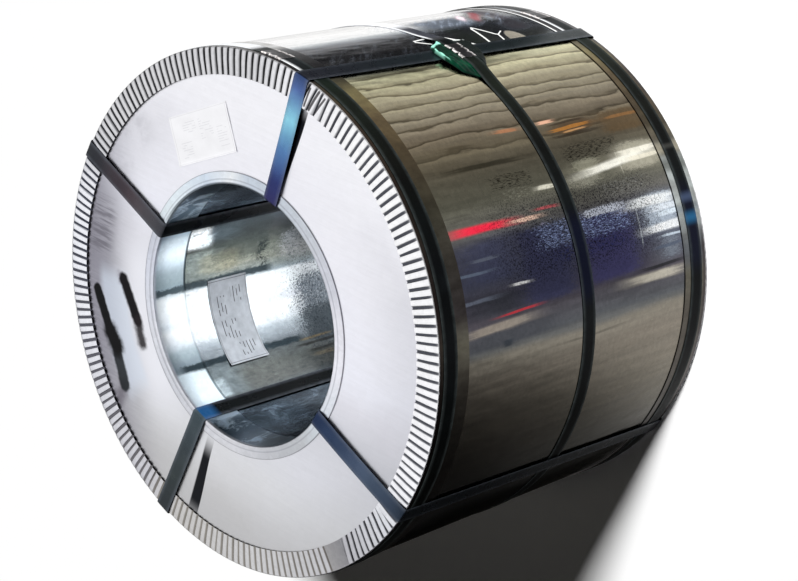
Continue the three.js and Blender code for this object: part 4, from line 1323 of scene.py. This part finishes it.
path_points = strap_path()
tangent = np.roll(path_points, -1, 0) - np.roll(path_points, 1, 0)
tangent /= np.linalg.norm(tangent, axis=1)[:, None]
outward = np.stack([tangent[:, 1], -tangent[:, 0]], 1)
across, out = strap_section()
away, level = path_points.T
for name, strap in EYE_STRAPS.items():
    rho = path_points[:, :1] + outward[:, :1] * (out[None, :] - STRAP_THICKNESS / 2)
    z = path_points[:, 1:] + outward[:, 1:] * (out[None, :] - STRAP_THICKNESS / 2)
    on_top = (
        np.clip((level - 0.78) / 0.01, 0, 1) * np.sin(np.pi * np.clip((away - 0.26) / 0.24, 0, 1))
    )
    z = z - 0.0006 * on_top[:, None]
    angle = np.radians(strap["angle"] + strap["skew"] * (level - COIL_MIDDLE) / COIL_MIDDLE
        * np.clip((away - 0.25) / 0.25, 0, 1))[:, None]
    radial = np.stack([np.cos(angle), np.sin(angle), np.zeros_like(angle)], -1)
    sideways = np.stack([-np.sin(angle), np.cos(angle), np.zeros_like(angle)], -1)
    loop = radial * rho[..., None] + sideways * across[None, :, None]
    loop[..., 2] = z
    inside_bore = away < 0.2505
    on_side = away > 0.508
    span = np.where(
        inside_bore, 0.0, np.where(on_side, 6 + 2 * np.clip((0.79 - level) / 0.79, 0, 1),
            1 + 4.6 * np.clip((away - 0.25) / 0.26, 0, 1))
    )
    span = np.where((level < 0.01) & ~inside_bore & ~on_side, 7.5, span)
    tones = np.array([srgb(*t) for t in strap["tones"]])
    bluing_and_sheen = np.stack([np.interp(span, np.arange(9), tones[:, c]) for c in range(3)]
        + [np.ones_like(span)], 1)
    if name == "lower_left":
        bluing_and_sheen[inside_bore & (level > 0.765), :3] = srgb(34, 84, 134)
    piece = swept(
        f"eye_band_{name}", loop, marks={"edge": np.broadcast_to(edge_mark, loop.shape[:2])},
        node=f"eye_strap_{name}", material=eye_paint
    )
    colour_mark = piece.data.color_attributes.new("bluing_and_sheen", "FLOAT_COLOR", "POINT")
    colour_mark.data.foreach_set("color",
        np.repeat(bluing_and_sheen, len(across), 0).astype(np.float32).reshape(-1))


# --- Seals ---
# Each strap is closed by a seal: a short steel sleeve over both strap ends, its sides folded under,
# crimped by a tool that bites two notches into each side. The bites and edges are bare metal,
# painted near white as highlights.
SEAL_HALF_WIDTH = 0.0188
NOTCH_HALF = 0.0035
NOTCH_DEEP = 0.0050
SEAL_SKIRT = 0.0009
SEAL_ON_HOOP = 0.5086
SEAL_ON_CROSSING = 0.5162
SEAL_PLAY = 0.0001
SEAL_GAP = 0.0007
BITE_LIFT = 0.0009
SEAL_STEPS = 75
SEAL_LENGTH = 0.050
CROSSING_SEAL_OFFSET = 0.006
EYE_SEAL_LENGTH = 0.057
EYE_SEAL_HEIGHT = 0.2865

seal_finish, tree, shader = new_material("seal_finish", 0.34, 0.85)
place = object_place(tree)
tone = colour_ramp(noise(place, 55.0, 4),
    [(0.3, srgb(26, 28, 30)), (0.5, srgb(48, 46, 50)), (0.7, srgb(92, 86, 88))])
bare_metal_glint = (mark(tree, "bite") * add_node(tree, "MapRange", Value=noise(place, 200.0, 3),
        From_Min=0.3, From_Max=0.5).outputs[0])
tone = mixed(bare_metal_glint, tone, srgb(246, 240, 238))
tree.links.new(tone, shader.inputs["Base Color"])
tree.links.new((1.0 - bare_metal_glint) * 0.85, shader.inputs["Metallic"])
tree.links.new(bump(noise(place, 160.0, 3), 0.0004, 0.5), shader.inputs["Normal"])


def strap_seal(node, length, place, *where):
    """The sleeve on a strap; place turns lengths along, across and out from it into points."""
    along = np.linspace(-length / 2, length / 2, SEAL_STEPS)[:, None]
    bites = [np.clip(1.25 - np.abs(along - side * length / 6) / NOTCH_HALF * 1.25, 0,
            1) for side in (-1, 1)]
    notch = sum(bites)
    half = SEAL_HALF_WIDTH - NOTCH_DEEP * notch
    shares = np.array([-1, -1, -0.985, -0.93, -0.6, -0.2, 0.2, 0.6, 0.93, 0.985, 1, 1])[None, :]
    heights = np.array([-SEAL_SKIRT, 0.0004, 0.0008, 0.0012, 0.0010, 0.0009, 0.0009, 0.0010, 0.0012,
            0.0008, 0.0004, -SEAL_SKIRT])[None, :]
    turned_up = (
        notch * np.array([2.2, 1.4, 1.0, 0.5, 0, 0, 0, 0, 0.5, 1.0, 1.4, 2.2])[None, :] * BITE_LIFT
    )
    across = shares * half
    over = heights + turned_up
    inner_shares = np.array([1, 1, 0.8, 0, -0.8, -1, -1])[None, :]
    inner_across = inner_shares * (half - 0.0006)
    inner_over = (
        np.array([-SEAL_SKIRT, 0.0001, 0.0002, 0.0002, 0.0002, 0.0001, -SEAL_SKIRT])[None, :]
        + notch * np.array([2.0, 1.2, 0, 0, 0, 1.2, 2.0])[None, :] * BITE_LIFT
    )
    across = np.concatenate([across, inner_across], 1)
    over = np.concatenate([over, inner_over], 1)
    bite = np.concatenate(
        [np.broadcast_to(np.abs(shares) > 0.9, (SEAL_STEPS, 12)), np.zeros((SEAL_STEPS, 7))], 1
    )
    swept(node.replace("seal", "sleeve"), place(along, across, over, *where), joined=False,
        marks={"bite": bite}, node=node, material=seal_finish, sharp=35)


def on_hoop(along, across, over, height):
    return round_axis(np.pi / 2 + along / SEAL_ON_HOOP, SEAL_ON_HOOP + over, height + across)


def on_middle_hoop(along, across, over):
    turn = np.radians(MIDDLE_HOOP["crossing"]) + (along - CROSSING_SEAL_OFFSET) / SEAL_ON_CROSSING
    radius = (
        MIDDLE_HOOP["inside"] + crossing_lift(np.degrees(turn)) + STRAP_THICKNESS + SEAL_PLAY + over
    )
    return round_axis(turn, radius,
        MIDDLE_HOOP["height"] + MIDDLE_HOOP["slope"] * SEAL_ON_CROSSING * np.sin(turn) + across)


for name, height in HOOP_HEIGHTS.items():
    strap_seal(f"hoop_seal_{name}", SEAL_LENGTH, on_hoop, height)
strap_seal("hoop_seal_middle", SEAL_LENGTH, on_middle_hoop)


def on_eye_strap(along, across, over, name):
    """Points of a seal on an eye strap: outside on the left pair, in the bore on the right."""
    outside = name.endswith("left")
    radius = (STRAP_OUTSIDE + SEAL_GAP + over) if outside else (STRAP_IN_BORE - SEAL_GAP - over)
    turn = np.radians(EYE_STRAPS[name]["angle"])
    skewed = np.radians(EYE_STRAPS[name]["skew"] * (EYE_SEAL_HEIGHT - COIL_MIDDLE)
        / COIL_MIDDLE) if outside else 0.0
    radius, across, up = np.broadcast_arrays(radius, across, EYE_SEAL_HEIGHT + along)
    turn = turn + skewed
    return np.stack([radius * np.cos(turn) - across * np.sin(turn),
            radius * np.sin(turn) + across * np.cos(turn), up], -1)


for name in EYE_STRAPS:
    strap_seal(f"eye_seal_{name}", EYE_SEAL_LENGTH, on_eye_strap, name)


# --- Green pad ---
# A piece of green plastic sheet, folded double and laid under the middle hoop where it crosses the
# eye strap, so that the two don't cut each other. It is rolled at one end and bulges by the hoop.
FRONT_END = 0.78725
PAD_HEAD = 0.4485
PAD_LENGTH = 0.111
PAD_FLAT = 0.5103
PAD_FLAT_HALF = 0.026
PAD_SHEET = 0.0026
WRAP_CLEAR = 0.5062
PUFF_BEFORE_HOOP = 0.0034
PUFF_BEYOND_HOOP = 0.0016
PAD_LEAST = 0.0003

pad_finish, tree, shader = new_material("pad_finish", 0.45, 0.0)
shader.inputs["Specular IOR Level"].default_value = 0.12
place = object_place(tree)
creases_and_glints = noise(place, 70.0, 4, 0.6)
tone = colour_ramp(creases_and_glints,
    [(0.3, srgb(0, 22, 14)), (0.5, srgb(0, 42, 28)), (0.7, srgb(6, 70, 46))])
tone = mixed(mark(tree, "shaded"), tone, srgb(14, 22, 20))
# painted mint highlights on the rolled crest and along the lit edge
tone = mixed(mark(tree, "rolled") * 0.95, tone, srgb(168, 244, 220))
tone = mixed(mark(tree, "worn"), tone, srgb(232, 238, 234))
tree.links.new(tone, shader.inputs["Base Color"])
tree.links.new(bump(creases_and_glints, 0.0016, 0.7), shader.inputs["Normal"])

sheet = np.linspace(0, 1, 72)[:, None]
from_front = FRONT_END - (PAD_HEAD - PAD_LENGTH * sheet)
lowest = np.interp(from_front, [0.339, 0.343, 0.352, 0.371, 0.382, 0.402, 0.413, 0.436, 0.450],
    [75.4, 74.3, 71.4, 69.9, 68.9, 68.7, 70.4, 73.8, 77.0])
highest = np.interp(from_front, [0.339, 0.347, 0.355, 0.377, 0.415, 0.442, 0.450],
    [79.2, 81.0, 81.7, 82.9, 83.6, 83.4, 82.6])
share = np.linspace(0, 1, 44)[None, :]
angle = lowest + (highest - lowest) * share
crossing = MIDDLE_HOOP["crossing"]
flat_end = np.degrees(np.arctan2(PAD_FLAT_HALF, PAD_FLAT))
away = np.abs(angle - crossing)
on_flat = PAD_FLAT / np.cos(np.radians(np.minimum(away, flat_end)))
to_foot = np.clip((away - flat_end) / (np.where(angle < crossing, 8.3, 5.2) - flat_end), 0, 1)
bed = on_flat + (WRAP_CLEAR - PAD_FLAT / np.cos(np.radians(flat_end))) * to_foot
hoop_middle = (
    FRONT_END - (MIDDLE_HOOP["height"] + MIDDLE_HOOP["slope"] * 0.51 * np.sin(np.radians(angle)))
)
from_hoop = np.abs(from_front - hoop_middle)
beside_hoop = np.clip((from_hoop - 0.0165) / 0.008, 0, 1)
before_hoop = (from_front < hoop_middle).astype(float)
edge_fade = np.clip(np.minimum(share, 1 - share) / 0.14, 0, 1) ** 0.6
puff = (beside_hoop
    * (PUFF_BEFORE_HOOP * before_hoop + PUFF_BEYOND_HOOP * (1 - before_hoop)) * edge_fade)
folds = (0.0010 * np.sin(np.radians(angle) * 95 + from_front * 130)
    * np.sin(share * 9 + from_front * 60) + 0.0006 * np.sin(from_front * 520 + share * 12))
roll = np.sqrt(np.clip(1 - ((from_front - 0.3412) / 0.0036) ** 2, 0, 1)) * 0.0026 * edge_fade
over = bed + PAD_SHEET + puff + folds * beside_hoop * edge_fade + roll
under_hoop = np.maximum(MIDDLE_HOOP["inside"] + crossing_lift(angle) - 0.0002, bed + PAD_LEAST)
over = np.where(from_hoop < 0.0190, under_hoop, over)
under = np.minimum(bed, over - PAD_LEAST)
turn = np.radians(angle)
level = np.broadcast_to(PAD_HEAD - PAD_LENGTH * sheet, turn.shape)
skin = np.concatenate([round_axis(turn, over, level), round_axis(turn, under, level)[:, ::-1]], 1)
# where the mint highlights are painted
crest = np.clip((roll - 0.0014) / 0.0008, 0, 1) * np.clip(0.5 + share, 0, 1)
lit_edge = (np.clip((share - 0.89) / 0.04, 0, 1) * np.clip((from_front - 0.345) / 0.004, 0, 1)
    * np.clip((0.396 - from_front) / 0.010, 0, 1))
rolled = np.concatenate([np.maximum(crest, lit_edge), np.zeros(turn.shape)], 1)
far_edge = np.clip((share - 0.84) / 0.05, 0, 1) * np.clip((from_front - 0.424) / 0.005, 0, 1)
worn_edge = np.concatenate([far_edge, np.zeros(turn.shape)], 1)
shaded = np.concatenate(
    [np.clip((from_front - hoop_middle + 0.006) / 0.02, 0, 1), np.ones(turn.shape)], 1
)
swept(
    "folded_pad", skin, joined=False, marks={"rolled": rolled, "shaded": shaded, "worn": worn_edge},
    node="green_pad", material=pad_finish, sharp=60
)


# --- Labels ---
# Two paper labels printed with plain bars: one glued on the front disc, slanting, and one bent to
# the bore just inside the mouth. The bore's label has come away along one edge.
LABEL_CENTRE = (-0.149, 0.314)
LABEL_LENGTH = 0.170
LABEL_WIDTH = 0.095
LABEL_TILT = np.radians(27.5)
LABEL_FOOT = 0.7872
PAPER = 0.00035
COCKLE = 0.0003
CURL = 0.0012
BORE_LABEL_LENGTH = 0.181
BORE_LABEL_WIDTH = 0.102

printing, given, out = new_group("label_print", {"Along": 0.0, "Across": 0.0, "Length": 0.17,
        "Width": 0.095, "Row": 0.0046, "Gaps": 0.47}, {"Ink": "Float"})
row = given["Across"] / given["Row"]
in_row = calculate("FRACT", row + 40.0)
dash_place = add_node(printing, "CombineXYZ", X=given["Along"] * 42.0,
    Y=calculate("FLOOR", row) * 5.3).outputs[0]
dash = smooth_step(noise(dash_place, 1.0, 0.0) - given["Gaps"], 0.0, 0.02)
bars = dash * between(in_row, 0.38, 0.60, 0.04)
blocks = 0.0
for low, high, bottom, top in ((-0.38, -0.20, -0.38, -0.05), (-0.30, -0.08, 0.08, 0.34),
        (-0.02, 0.20, -0.10, 0.34), (0.26, 0.42, -0.34, 0.10)):
    along = between(given["Along"] / given["Length"], low, high, 0.004)
    across = between(given["Across"] / given["Width"], bottom, top, 0.008)
    blocks = calculate("MAXIMUM", blocks, along * across)
rule = between(calculate("ABSOLUTE", given["Along"] / given["Length"]), 0.472, 0.478, 0.002)
edge = between(calculate("ABSOLUTE", given["Across"] / given["Width"]), 0.470, 0.482, 0.004)
rule = calculate("MAXIMUM", rule, edge * 0.7)
printing.links.new(calculate("MAXIMUM", bars * blocks, rule), out["Ink"])


def label_paper(name, centre, tilt, paper_tone, ink_tone, strength, row, bent=False, density=0.47):
    """The paper of a label, its bars laid out flat on the disc or, if bent, round the bore."""
    material, tree, shader = new_material(name, 0.55, 0.0)
    place = object_place(tree)
    if bent:
        _, turned_by, height = from_axis(tree)
        along = (turned_by - centre[0] / 360) * (2 * np.pi * LINER_RADIUS)
        across = height - centre[1]
        length, width = BORE_LABEL_LENGTH, BORE_LABEL_WIDTH
    else:
        offset = add_node(tree, "VectorMath", {"operation": "SUBTRACT"}, i0=place,
            i1=(*centre, 0)).outputs[0]
        straight = add_node(tree, "VectorRotate", {"rotation_type": "Z_AXIS"}, Vector=offset,
            Angle=-tilt).outputs[0]
        along, across, _ = add_node(tree, "SeparateXYZ", Vector=straight).outputs
        length, width = LABEL_LENGTH, LABEL_WIDTH
    ink = use_group(tree, printing, Along=along, Across=across, Length=length, Width=width,
        Row=row, Gaps=density)["Ink"]
    tone = colour_ramp(noise(place, 60.0 if bent else 25.0, 3),
        [(0.3, srgb(*[c - (24 if bent else 6) for c in paper_tone])), (0.7, srgb(*paper_tone))])
    tone = mixed(ink * strength, tone, srgb(*ink_tone))
    tree.links.new(tone, shader.inputs["Base Color"])
    tree.links.new(bump(noise(place, 40.0, 3), 0.001, 0.5), shader.inputs["Normal"])
    return material


paper = label_paper("face_label_paper", LABEL_CENTRE, LABEL_TILT, (243, 243, 246),
    (150, 150, 160), 0.30, 0.0046)
along = np.linspace(-LABEL_LENGTH / 2, LABEL_LENGTH / 2, 48)[:, None]
across = np.linspace(-LABEL_WIDTH / 2, LABEL_WIDTH / 2, 26)[None, :]
cockle = (COCKLE * (1 + np.sin(along * 70 + 1.0) * np.sin(across * 90))
    * np.clip((0.5 - np.abs(across) / LABEL_WIDTH) / 0.08, 0.15, 1))
curl = CURL * np.clip((-across / LABEL_WIDTH - 0.40) / 0.1, 0, 1) ** 2
over = LABEL_FOOT + 0.00045 + cockle + curl
under = np.maximum(over - PAPER, LABEL_FOOT)
u, v = np.broadcast_arrays(along, across)
x = LABEL_CENTRE[0] + u * np.cos(LABEL_TILT) - v * np.sin(LABEL_TILT)
y = LABEL_CENTRE[1] + u * np.sin(LABEL_TILT) + v * np.cos(LABEL_TILT)
sheet = np.concatenate([np.stack([x, y, over], -1), np.stack([x, y, under], -1)[:, ::-1]], 1)
swept("face_label_sheet", sheet, joined=False, node="face_label", material=paper)

BORE_LABEL_TURN = (191.0, 232.0)
BORE_LABEL_HEIGHT = (0.5445, 0.6465)
BORE_LABEL_CENTRE = (211.5 - 360, 0.5955)
BORE_LABEL_FACE = 0.2520
BORE_LABEL_BACK = 0.2524
BORE_LABEL_LIFT = 0.0026
paper = label_paper("bore_label_paper", BORE_LABEL_CENTRE, 0.0, (198, 204, 212), (44, 42, 54), 0.95,
    0.0088, bent=True, density=0.43)
turn = np.radians(np.linspace(*BORE_LABEL_TURN, 60))[:, None]
level = np.linspace(*BORE_LABEL_HEIGHT, 24)[None, :]
share = (turn - turn.min()) / np.ptp(turn)
lifted = (BORE_LABEL_LIFT * np.clip((share - 0.88) / 0.12, 0, 1) ** 1.5 + COCKLE
    * (1 + np.sin(turn * 40) * np.sin(level * 80)))
over = BORE_LABEL_FACE - lifted
under = np.minimum(over + 0.0004, BORE_LABEL_BACK)
sheet = np.concatenate([round_axis(turn, over, level), round_axis(turn, under, level)[:, ::-1]], 1)
swept("bore_label_sheet", sheet, joined=False, node="bore_label", material=paper)
